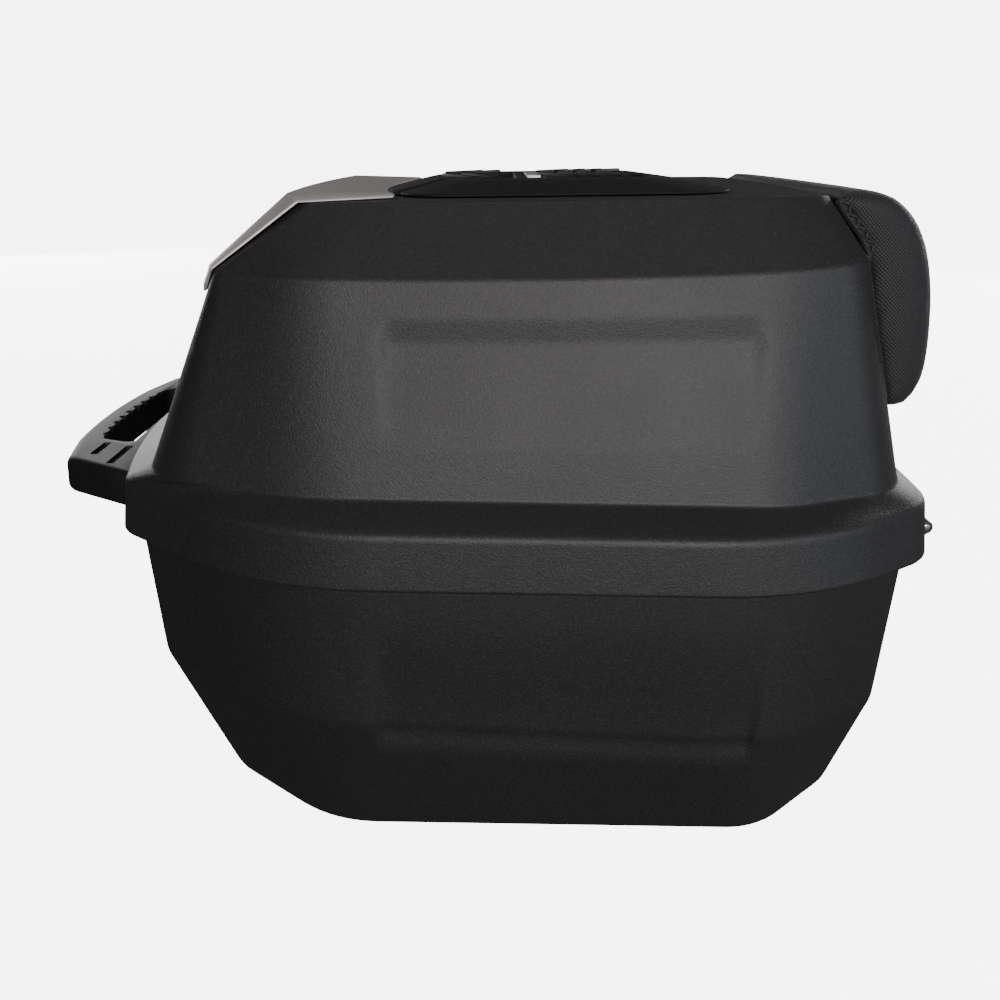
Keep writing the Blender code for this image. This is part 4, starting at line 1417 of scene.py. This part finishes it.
# ---------------------------------------------------------------------------------------------------------
# Handle, trim, top cover and backrest
# ---------------------------------------------------------------------------------------------------------
@dataclass
class CarryHandle:
    """The carry handle: a flat grip with grooves on its arms and finger scallops on its crossbar."""

    low: float = 0.1660
    high: float = 0.1865
    groove_width: float = 0.0044
    groove_depth: float = 0.0022
    scallops: int = 9
    scallop_pitch: float = 0.0125

    def outline(self) -> list[Pair]:
        """The outer edge seen from above.

        Returns:
            The points, as X and Y.
        """
        wall = [(-0.2009, 0.0), (-0.1973, 0.0612), (-0.1848, 0.1255)]
        half = wall + [(-0.1925, 0.1250)]
        half += fillet((-0.1925, 0.1250), (-0.2375, 0.0985), (-0.2455, 0.0650), 0.014, 12)
        half += [(-0.2462, 0.0600), (-0.2478, 0.0460), (-0.2490, 0.0300), (-0.2498, 0.0150), (-0.2500, 0.0)]
        return half + [(x, -y) for x, y in reversed(half[1:-1])]

    def opening(self) -> list[Pair]:
        """The finger opening's edge seen from above.

        Returns:
            The points, as X and Y.
        """
        half = [(-0.2105, 0.0)]
        half += fillet((-0.2105, 0.0), (-0.2100, 0.0670), (-0.2290, 0.0640), 0.004, 8)
        half += fillet((-0.2100, 0.0670), (-0.2310, 0.0610), (-0.2340, 0.0350), 0.008, 8)
        half += [(-0.2340, 0.0350), (-0.2347, 0.0180), (-0.2350, 0.0)]
        return half + [(x, -y) for x, y in reversed(half[1:-1])]

    def grooves(self) -> list[bpy.types.Object]:
        """The tools that cut the long grooves on top of each arm.

        Returns:
            The tools.
        """
        tools = []
        for side in (-1, 1):
            for x, near, far in ((-0.2245, 0.068, 0.091), (-0.2095, 0.074, 0.107)):
                half = self.groove_width / 2
                low, high = (x - half, near, self.high - self.groove_depth), (x + half, far, self.high + 0.004)
                tool = rounded(block(f"groove_{side:+d}_{x:.4f}", low, high), 0.0012)
                tool.data.transform(Matrix.Scale(side, 4, (0.0, 1.0, 0.0)))
                if side < 0:
                    tool.data.flip_normals()
                tools.append(tool)
        return tools

    def finger_cuts(self, finish: bpy.types.Material) -> bpy.types.Object:
        """The scallops along the crossbar's inner top edge, copied by geometry nodes.

        Args:
            finish: Any material, which the cuts take over.

        Returns:
            One object that holds every cut.
        """
        scatter = Scatter("finger_cuts", finish)
        middle = (self.scallops - 1) / 2
        for index in range(self.scallops):
            y = (index - middle) * self.scallop_pitch
            x = -0.2362 + 1.6 * y * y
            lean = Vector((0.75, 0.0, 1.0)).normalized()
            scatter.places.append((Vector((x + 0.0008, y, self.high)), lean, 1.0))
        drop = [(0.0, -0.0028), (0.0022, -0.0020), (0.0036, 0.0), (0.0040, 0.0030), (0.0, 0.0060)]
        return scatter.make(turned_shape("scallop_shape", drop, 14))

    def build(self, finishes: Finishes) -> None:
        """Make and dress the handle.

        Args:
            finishes: The finishes.
        """
        handle = extruded("carry_handle", self.outline(), Axis.Z, self.low, self.high)
        rounded(handle, 0.0050, 6, 50.0)
        opening = extruded("finger_opening", self.opening(), Axis.Z, self.low - 0.004, self.high + 0.004)
        combined(handle, [opening])
        rounded(handle, 0.0018, 3, 50.0)
        combined(handle, self.grooves() + [self.finger_cuts(finishes.handle)])
        smooth(handle, 40.0)
        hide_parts("handle")
        dressed(handle, Body.BASE, finishes.handle)


class TrimLine(Enum):
    """The plate's four lines, from the rear wall up to the top, each with its way out as X and Z."""

    WALL = (-0.921, 0.390)
    CREASE = (-0.921 - 0.570, 0.390 + 0.822)
    RIDGE = (-0.854, 0.520)
    FRONT = (-0.030, 1.0)


@dataclass
class LidTrim:
    """The silver plate over the lid's rear slope: a raised field with a chamfer all round."""

    gap: float = 0.0006
    edge: float = 0.0014
    lifts: Sequence[float] = (0.0022, 0.0036, 0.0084, 0.0032)
    reaches: Sequence[float] = (0.1400, 0.1475, 0.1385, 0.1135)
    drawn_in: Sequence[float] = (0.0030, 0.0080, 0.0125, 0.0030)
    wall_share: float = 0.885
    front: float = -0.0510
    front_bow: float = 0.0120
    bow_reach: float = 0.105
    columns: int = 24

    def spot(self, line: TrimLine, y: float, inner: float) -> Pair:
        """Where a line lies on the lid, at a distance from the centre plane.

        Args:
            line: The line.
            y: The distance.
            inner: How far the line is drawn in from the plate's edge.

        Returns:
            X and Z.
        """
        lid, share = LidShell(), self.wall_share
        if line is TrimLine.WALL:
            x = lid.foot.rear_x(y) * (1 - share) + lid.crease.rear_x(y) * share
            return x, lid.foot_z * (1 - share) + lid_crease_z(lid.crease.rear) * share + inner * 0.9
        if line is TrimLine.CREASE:
            x = lid.crease.rear_x(y)
            return x, lid_crease_z(x)
        x = lid.top.rear_x(y)
        if line is TrimLine.FRONT:
            x = self.front - inner - self.front_bow * max(0.0, 1.0 - (y / self.bow_reach) ** 2)
        return x, lid_top_z(x)

    def surface(self, lifts: Sequence[float], drawn_in: Sequence[float]) -> list[list[Place]]:
        """The plate's lines at their distances from the lid.

        Args:
            lifts: The distance of each line.
            drawn_in: How far each line stops short of the plate's edge.

        Returns:
            The lines' points, from the rear wall up to the top, and each from negative to positive Y.
        """
        lines = []
        for line, reach, inner, lift in zip(TrimLine, self.reaches, drawn_in, lifts):
            away = Vector(line.value).normalized() * lift
            points = []
            for index in range(self.columns + 1):
                y = (reach - inner) * (2 * index / self.columns - 1)
                x, z = self.spot(line, abs(y), inner)
                points.append((x + away.x, y, z + away.y))
            lines.append(points)
        return lines

    def build(self, finishes: Finishes) -> None:
        """Make and dress the plate.

        Args:
            finishes: The finishes.
        """
        flush = (0.0,) * len(TrimLine)
        under, brim = (self.gap,) * len(TrimLine), (self.gap + self.edge,) * len(TrimLine)
        surfaces = (self.surface(under, flush), self.surface(brim, flush),
                    self.surface(self.lifts, self.drawn_in))
        work = bmesh.new()
        layers = [[[work.verts.new(point) for point in row] for row in rows] for rows in surfaces]
        for layer in (layers[0], layers[2]):
            for low, high in zip(layer, layer[1:]):
                strip(work, low, high)
        for lower, upper in zip(layers, layers[1:]):
            strip(work, lower[0], upper[0])
            strip(work, lower[-1], upper[-1])
            for end in (0, -1):
                strip(work, [row[end] for row in lower], [row[end] for row in upper])
        trim = from_bmesh("silver_trim_plate", work)
        rounded(trim, 0.0004, 2, 16.0)
        smooth(trim, 22.0)
        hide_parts("lid_trim")
        dressed(trim, Body.LID, finishes.silver)


@dataclass
class TopCover:
    """The raised cover on the lid's top: a low mound with slanted ribs, a cross channel and a plain plate."""

    rear: float = -0.050
    front: float = 0.126
    half_width: float = 0.112
    rib_rows: int = 9
    rib_pitch: float = 0.0115
    rib_lift: float = 0.0072
    rib_slant: float = 0.45
    channels: Sequence[float] = (0.0075, 0.0235)

    def ring(self, rear: float, front: float, half_width: float, corner: float, lift: float) -> np.ndarray:
        """One level of the mound.

        Args:
            rear: The level's rear X.
            front: Its front X.
            half_width: Its half width.
            corner: Its corners' radius.
            lift: Its height over the lid's top.

        Returns:
            The half ring's points.
        """
        bow = LidTrim.front_bow * (rear - self.front) / (self.rear - self.front)
        flat = [(rear - bow * max(0.0, 1.0 - (i / 7.5) ** 2), half_width * i / 8) for i in range(7)]
        flat += fillet((rear, 0.0), (rear, half_width), (front, half_width), corner, 10)
        flat += [(rear + (front - rear) * i / 12, half_width) for i in range(4, 9)]
        flat += fillet((rear, half_width), (front, half_width), (front, 0.0), corner, 10)
        flat += [(front, half_width * i / 8) for i in range(6, -1, -1)]
        return np.array([(x, y, lid_top_z(x) + lift) for x, y in flat])

    def ribs(self, finish: bpy.types.Material) -> bpy.types.Object:
        """The slanted ribs on both halves of the mound, copied by geometry nodes.

        Args:
            finish: Their material.

        Returns:
            The ribs as one piece.
        """
        scatter, sides = Scatter("top_cover_ribs", finish), []
        for side in (-1, 1):
            for index in range(self.rib_rows):
                x = -0.019 + index * self.rib_pitch
                if 0.000 < x + 0.004 < 0.034:  # the channels are there
                    continue
                spot = Vector((x, side * 0.040, lid_top_z(x) + self.rib_lift))
                scatter.places.append((spot, Vector((0.0, 0.0, 1.0)), 1.0))
                sides.append(Vector((self.rib_slant, side * 1.0, 0.0)).normalized())
        rib = rounded(block("rib_shape", (-0.026, -0.0018, -0.001), (0.026, 0.0018, 0.0022)), 0.0009, 2)
        return scatter.make(rib, sides=sides)

    def build(self, finishes: Finishes) -> None:
        """Make and dress the cover, its ribs and the plain plate.

        Args:
            finishes: The finishes.
        """
        levels = [self.ring(self.rear, self.front, self.half_width, 0.030, 0.0006),
                  self.ring(self.rear, self.front, self.half_width, 0.030, 0.0018),
                  self.ring(self.rear + 0.022, self.front - 0.036, self.half_width - 0.034, 0.022, 0.0074),
                  self.ring(self.rear + 0.030, self.front - 0.044, self.half_width - 0.042, 0.016, 0.0078)]
        rows = rounded_rows(levels, (0.0010, 0.0060), (0, 8, 0))
        cover = skin("top_cover_mound", rows, footed=True)
        tools = []
        for index, x in enumerate(self.channels):
            floor = lid_top_z(x) + 0.0050
            low, high = (x - 0.0052, -0.060, floor), (x + 0.0052, 0.060, floor + 0.02)
            tools.append(block(f"channel_{index}", low, high))
        combined(cover, tools)
        rounded(cover, 0.0006, 2, 40.0)
        smooth(cover, 30.0)
        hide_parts("top_cover")
        dressed(cover, Body.LID, finishes.top)
        dressed(self.ribs(finishes.top), Body.LID, finishes.top)
        Packed(["badge_plate"], 0.0006, Body.LID, Slot.SILVER, finishes.silver, 3).make()


@dataclass
class Backrest:
    """The cushion on the lid's front wall: a swollen woven cover with piping and lines of stitches."""

    half_width: float = 0.127
    wall_top: float = 0.3099
    fullness: float = 0.945
    hold: float = 0.0065
    voxel: float = 0.0045
    most_move: float = 0.006
    stitch_pitch: float = 0.0038
    piping_radius: float = 0.0021
    frames: int = 20
    lid_seam: Sequence[Pair] = ((0.1722, 0.3372), (0.1763, 0.3316), (0.1806, 0.3263), (0.1858, 0.3200),
                                (0.1900, 0.3120))

    def wall_x(self, z: float, y: float) -> float:
        """X of the lid's front wall.

        Args:
            z: The height.
            y: The distance from the centre plane.

        Returns:
            X on the wall.
        """
        lid = LidShell()
        share = min(1.0, (z - lid.foot_z) / (lid_crease_z(lid.crease.front) - lid.foot_z))
        return lid.foot.front_x(y) * (1 - share) + lid.crease.front_x(y) * share

    def outline(self) -> list[Pair]:
        """The cushion's section on the centre plane.

        Returns:
            Points as X and Z, from the lower back round to the lower front.
        """
        return [(self.wall_x(0.2310, 0.0), 0.2300), (self.wall_x(0.2570, 0.0), 0.2570),
                (self.wall_x(0.2850, 0.0), 0.2850), (self.wall_x(0.3095, 0.0), 0.3130),
                (0.1728, 0.3410), (0.1790, 0.3424), (0.1870, 0.3424), (0.1950, 0.3418), (0.2032, 0.3402),
                (0.2104, 0.3368), (0.2163, 0.3322), (0.2220, 0.3252), (0.2267, 0.3162), (0.2301, 0.3065),
                (0.2326, 0.2950), (0.2344, 0.2830), (0.2354, 0.2700), (0.2356, 0.2590), (0.2350, 0.2510),
                (0.2334, 0.2440), (0.2302, 0.2378), (0.2245, 0.2325)]

    def section(self, y: float, grow: float = 1.0) -> list[Vector]:
        """The cushion's section at a distance from the centre plane.

        Args:
            y: The distance, with its sign.
            grow: How full the section is, besides the rounding of the ends.

        Returns:
            The section's points.
        """
        outline = self.outline()
        end = max(0.0, (abs(y) - 0.112) / 0.0178)  # from 0 where the ends start to round, to 1 at their tips
        swell = (math.sqrt(max(0.0, 1.0 - end ** 2)) * 0.42 + 0.58) * grow
        points = []
        for index, (x, z) in enumerate(outline):
            level = min(z, self.wall_top)
            shift = self.wall_x(level, y) - self.wall_x(level, 0.0) + (0.0008 if index < 4 else 0.0)
            if index > 4:
                share = (index - 4) / (len(outline) - 4)
                back_x = outline[4][0] * (1 - share) + outline[0][0] * share
                x = back_x + (x - back_x) * swell
                z = 0.286 + (z - 0.286) * (0.93 + 0.07 * swell)
            points.append(Vector((x + shift, y, z)))
        return points

    def stations(self) -> list[float]:
        """The distances from the centre plane at which the section is set.

        Returns:
            The distances, from negative to positive Y.
        """
        inner = [i * 0.0085 for i in range(-12, 13)]
        outer = [0.1085, 0.1145, 0.1200, 0.1245, 0.1276, 0.1294]
        return [-y for y in reversed(outer)] + inner + outer

    def form(self, grow: float) -> bpy.types.Object:
        """The cushion before it swells.

        Args:
            grow: How full it is.

        Returns:
            A closed object.
        """
        work = bmesh.new()
        rings = [[work.verts.new(point) for point in self.section(y, grow)] for y in self.stations()]
        ringed(work, rings)
        work.faces.new(rings[0])
        work.faces.new(rings[-1])
        return from_bmesh("backrest_cushion", work)

    def swollen(self, pad: bpy.types.Object) -> bpy.types.Object:
        """Let the cover swell over its foam, by a cloth simulation whose result becomes the mesh.

        Args:
            pad: The cushion's form.

        Returns:
            The same object.
        """
        step = pad.modifiers.new("even_mesh", "REMESH")
        step.mode = "VOXEL"
        step.voxel_size = self.voxel
        baked(pad)
        rest = np.array([v.co for v in pad.data.vertices])
        held = pad.vertex_groups.new(name="held")
        for vertex in pad.data.vertices:
            x, y, z = vertex.co
            if x < self.wall_x(min(z, self.wall_top), y) + self.hold:
                held.add([vertex.index], 1.0, "REPLACE")
        cloth = pad.modifiers.new("swell", "CLOTH")
        settings = cloth.settings
        settings.quality = 6
        settings.mass = 0.3
        settings.tension_stiffness = 24.0
        settings.compression_stiffness = 18.0
        settings.bending_stiffness = 1.2
        settings.use_pressure = True
        settings.uniform_pressure_force = 4.0
        settings.vertex_group_mass = "held"
        settings.effector_weights.gravity = 0.0
        cloth.point_cache.frame_start, cloth.point_cache.frame_end = 1, self.frames
        for number in range(1, self.frames + 1):
            bpy.context.scene.frame_set(number)
        baked(pad)
        bpy.context.scene.frame_set(1)
        moved = np.array([v.co for v in pad.data.vertices]) - rest
        far = np.linalg.norm(moved, axis=1)
        scale = np.minimum(1.0, self.most_move / np.maximum(far, 1e-9))
        pad.data.vertices.foreach_set("co", (rest + moved * scale[:, None]).astype(np.float32).ravel())
        pad.data.update()
        return pad

    @staticmethod
    def tube(name: str, path: Sequence[Vector], radius: float) -> bpy.types.Object:
        """A thin tube along a path.

        Args:
            name: The object's name.
            path: The points.
            radius: The tube's radius.

        Returns:
            The tube as a mesh.
        """
        curve = bpy.data.curves.new(name, "CURVE")
        curve.dimensions = "3D"
        curve.bevel_depth = radius
        curve.bevel_resolution = 3
        curve.use_fill_caps = True
        line = curve.splines.new("POLY")
        line.points.add(len(path) - 1)
        for place, point in zip(line.points, path):
            place.co = (*point, 1.0)
        made = bpy.data.objects.new(name, curve)
        bpy.context.scene.collection.objects.link(made)
        bpy.context.view_layer.update()
        mesh = bpy.data.meshes.new_from_object(made.evaluated_get(bpy.context.evaluated_depsgraph_get()))
        bpy.data.objects.remove(made, do_unlink=True)
        work = bmesh.new()
        work.from_mesh(mesh)
        bmesh.ops.remove_doubles(work, verts=work.verts, dist=1e-6)
        return smooth(from_bmesh(name, work), 60.0)

    def stitches(self, name: str, path: Sequence[Vector], finish: bpy.types.Material,
                 zigzag: float) -> bpy.types.Object:
        """A line of stitches along a path, copied by geometry nodes.

        Args:
            name: The object's name.
            path: The path's points.
            finish: The thread's material.
            zigzag: How far the stitches slant to either side, as a share of their length.

        Returns:
            The stitches as one piece.
        """
        scatter, sides = Scatter(name, finish), []
        lengths = np.cumsum([0.0] + [(b - a).length for a, b in zip(path, path[1:])])
        grid = np.array(path).T
        count = int(lengths[-1] / self.stitch_pitch)
        for index in range(count):
            at = (index + 0.5) * lengths[-1] / count
            spot = Vector([float(np.interp(at, lengths, line)) for line in grid])
            ahead = Vector([float(np.interp(at + 0.001, lengths, line)) for line in grid])
            run = (ahead - spot).normalized()
            out = Vector((0.35, math.copysign(1.0, spot.y), 0.2)).normalized()
            across = run.cross(out).normalized()
            scatter.places.append((spot, out, 1.0))
            sides.append((run + across * zigzag * (1 if index % 2 else -1)).normalized())
        stitch = block("stitch_shape", (-0.0015, -0.00038, -0.00045), (0.0015, 0.00038, 0.00045))
        return scatter.make(rounded(stitch, 0.0003, 2), sides=sides)

    def build(self, finishes: Finishes) -> None:
        """Make and dress the cushion, its piping and its stitches.

        Args:
            finishes: The finishes.
        """
        pad = self.swollen(self.form(self.fullness))
        step = pad.modifiers.new("finer", "SUBSURF")
        step.levels = step.render_levels = 1
        smooth(baked(pad), 80.0)
        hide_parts("backrest_pad")
        dressed(pad, Body.LID, finishes.weave)
        for side, word in SIDES:
            line = [Vector((x, side * 0.1300, z)) for x, z in self.lid_seam]
            upper = [Vector((x - 0.0016, side * self.half_width, z - 0.0006)) for x, z in self.lid_seam]
            lower = [Vector((self.wall_x(z, self.half_width) + 0.0008, side * 0.1266, z))
                     for z in (0.306, 0.284, 0.260, 0.236)]
            piping = self.tube(f"backrest_piping_{word}", upper + lower, self.piping_radius)
            dressed(piping, Body.LID, finishes.weave)
            thread = self.stitches(f"backrest_stitches_{word}", line, finishes.thread, 0.9)
            dressed(thread, Body.LID, finishes.thread)
        Packed(["backrest_plate"], 0.0004, Body.LID, Slot.INNER, finishes.inner).make()


# ---------------------------------------------------------------------------------------------------------
# Lock, springs, quick release and fastenings
# ---------------------------------------------------------------------------------------------------------
@dataclass
class LidLock:
    """The lock on the rear wall: housing, press button, key barrel, lever, cover and striker."""

    def build(self, finishes: Finishes) -> None:
        """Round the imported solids' edges and dress them.

        Args:
            finishes: The finishes.
        """
        for packed in (Packed(["lock_housing"], 0.0012, Body.BASE, Slot.BLACK, finishes.handle),
                       Packed(["latch_cover"], 0.0008, Body.BASE, Slot.INNER, finishes.inner),
                       Packed(["latch_pin"], 0.0004, Body.BASE, Slot.STEEL, finishes.steel),
                       Packed(["lid_button"], 0.0009, Body.BUTTON, Slot.BLACK, finishes.handle),
                       Packed(["lock_barrel", "barrel_cam"], 0.0004, Body.KEY, Slot.ZINC, finishes.zinc),
                       Packed(["latch_lever"], 0.0004, Body.LATCH, Slot.STEEL, finishes.steel),
                       Packed(["lid_striker"], 0.0004, Body.LID, Slot.STEEL, finishes.steel)):
            packed.make()
        repaint("latch_spring", finishes.steel)


@dataclass
class ReturnSpring:
    """A return spring, copied from the imported part in its rest shape; on the case it shortens towards its
    fixed end as its button goes in.
    """

    node: str
    joint: str
    fixed_x: float
    keep: float

    def build(self, finishes: Finishes) -> None:
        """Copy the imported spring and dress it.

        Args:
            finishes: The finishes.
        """
        work = bmesh.new()
        work.from_mesh(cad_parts[self.node].data)
        bmesh.ops.remove_doubles(work, verts=work.verts, dist=MERGE)
        spring = smooth(from_bmesh(self.node + "_fine", work), 50.0)
        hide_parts(self.node)
        dressed(spring, Body.BASE, finishes.steel)
        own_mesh(spring)


@dataclass
class QuickRelease:
    """The release on the underside: housing, press button and steel slide."""

    def build(self, finishes: Finishes) -> None:
        """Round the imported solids' edges and dress them.

        Args:
            finishes: The finishes.
        """
        Packed(["release_housing"], 0.0008, Body.BASE, Slot.INNER, finishes.inner).make()
        Packed(["release_button"], 0.0012, Body.RELEASE, Slot.BLACK, finishes.handle).make()
        Packed(["release_slide"], 0.0004, Body.RELEASE, Slot.STEEL, finishes.steel).make()


@dataclass
class Fastenings:
    """The hinge pins, the trim's clips and every screw."""

    families: Sequence[tuple[str, Body]] = (
        ("handle", Body.BASE), ("lock", Body.BASE), ("release", Body.BASE),
        ("backrest", Body.LID), ("top_cover", Body.LID), ("striker", Body.LID))

    def build(self, finishes: Finishes) -> None:
        """Make and dress them.

        Args:
            finishes: The finishes.
        """
        pins, clips = ([f"{name}_{word}" for _, word in SIDES] for name in ("hinge_pin", "trim_clip"))
        Packed(pins, 0.0007, Body.BASE, Slot.STEEL, finishes.steel, 3).make()
        Packed(clips, 0.0004, Body.LID, Slot.ZINC, finishes.zinc).make()
        for family, body in self.families:
            nodes = sorted(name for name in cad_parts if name.startswith(family + "_screw"))
            Screws(f"{family}_screws", body, nodes, finishes.zinc).make()


# ---------------------------------------------------------------------------------------------------------
# Studio
# ---------------------------------------------------------------------------------------------------------
@dataclass
class Studio:
    """The floor, the soft lights and the camera."""

    eye: Place = (0.0, -0.6313, 0.363)
    pitch: float = 14.6
    roll: float = 1.0
    sensor: float = 36.0
    lens: float = 36.0
    shift: Pair = (0.010, -0.100)
    floor_size: float = 30.0
    room_light: float = 0.06
    backdrop_light: float = 6.44

    def floor(self, finishes: Finishes) -> None:
        """Lay the floor.

        Args:
            finishes: The finishes.
        """
        work = bmesh.new()
        bmesh.ops.create_grid(work, x_segments=8, y_segments=8, size=self.floor_size)
        bmesh.ops.translate(work, vec=(0.0, 0.0, -0.0002), verts=work.verts)
        mesh = bpy.data.meshes.new("studio_floor")
        work.to_mesh(mesh)
        work.free()
        floor = new_object("studio_floor", mesh)
        floor.data.materials.append(finishes.floor)
        floor.visible_diffuse = False
        floor.visible_glossy = False

    def camera(self) -> None:
        """Place the camera at the case's side, a little above its lid's crease."""
        data = bpy.data.cameras.new("camera")
        data.sensor_width = self.sensor
        data.lens = self.lens
        data.shift_x, data.shift_y = self.shift
        data.clip_start, data.clip_end = 0.01, 200.0
        camera = bpy.data.objects.new("camera", data)
        tilt, roll = math.radians(self.pitch), math.radians(self.roll)
        ahead = Vector((0.0, math.cos(tilt), -math.sin(tilt)))
        right, up = Vector((1.0, 0.0, 0.0)), Vector((0.0, math.sin(tilt), math.cos(tilt)))
        side = right * math.cos(roll) + up * math.sin(roll)
        top = up * math.cos(roll) - right * math.sin(roll)
        turn = Matrix((side, top, -ahead)).transposed().to_4x4()
        camera.matrix_world = Matrix.Translation(self.eye) @ turn
        bpy.context.scene.collection.objects.link(camera)
        bpy.context.scene.camera = camera

    @staticmethod
    def lamp(name: str, place: Place, aim: Place, size: Pair, power: float, tint: Place = WHITE) -> None:
        """Hang one soft box.

        Args:
            name: The lamp's name.
            place: Where it hangs.
            aim: What it points at.
            size: Its width and height.
            power: Its power in watts.
            tint: Its colour.
        """
        data = bpy.data.lights.new(name, "AREA")
        data.shape = "RECTANGLE"
        data.size, data.size_y = size
        data.energy = power
        data.color = tint
        lamp = bpy.data.objects.new(name, data)
        lamp.location = place
        lamp.visible_camera = False
        lamp.rotation_euler = (Vector(aim) - Vector(place)).to_track_quat("-Z", "Y").to_euler()
        bpy.context.scene.collection.objects.link(lamp)

    def world(self) -> None:
        """Fill the room with pale light, dimmer than what the camera sees behind the case."""
        world = bpy.data.worlds.new("studio")
        bpy.context.scene.world = world
        world.use_nodes = True
        world.node_tree.nodes.clear()
        graph = Graph(world.node_tree)
        seen = graph.add("ShaderNodeLightPath").outputs["Is Camera Ray"]
        strength = graph.math("MULTIPLY_ADD", seen, self.backdrop_light, self.room_light)
        back = graph.add("ShaderNodeBackground", Color=(*WHITE, 1.0), Strength=strength)
        graph.add("ShaderNodeOutputWorld", Surface=back.outputs[0])

    def build(self, finishes: Finishes) -> None:
        """Set up the floor, lights, world and camera.

        Args:
            finishes: The finishes.
        """
        self.floor(finishes)
        self.world()
        warm, cool = (1.0, 0.945, 0.955), (0.78, 0.89, 1.0)
        self.lamp("front_softbox", (0.32, -2.35, 0.86), (0.05, -0.1, 0.24), (1.1, 0.50), 45.0, warm)
        self.lamp("side_softbox", (2.1, -1.6, 0.6), (0.1, 0.0, 0.25), (0.8, 1.0), 17.0, cool)
        self.lamp("low_softbox", (0.3, -1.5, 0.05), (0.05, -0.1, 0.06), (1.2, 0.10), 2.2)
        self.lamp("rear_left_softbox", (-1.5, 2.3, 0.6), (0.0, 0.1, 0.18), (1.3, 1.0), 27.0)
        self.lamp("rear_right_softbox", (1.9, 1.9, 0.7), (0.0, 0.1, 0.18), (1.3, 1.0), 27.0)
        self.lamp("top_softbox", (0.0, 0.3, 2.6), (0.0, 0.0, 0.2), (1.8, 1.8), 7.0)
        self.camera()


def main() -> None:
    """Build every sub-assembly in order, then the studio."""
    logging.basicConfig(level=logging.INFO, format="%(name)s: %(message)s")
    finishes = Finishes()
    for assembly in (BaseTub(), LidShell(), RimSeal(), CarryHandle(), LidTrim(), TopCover(), Backrest(),
                     LidLock(),
                     ReturnSpring("button_spring", "lid_button_press", fixed_x=-0.2012, keep=0.40),
                     ReturnSpring("release_spring", "release_press", fixed_x=-0.1120, keep=0.71),
                     QuickRelease(), Fastenings(), Studio()):
        assembly.build(finishes)
        LOG.info("%s done", type(assembly).__name__)


if __name__ == "__main__":
    main()
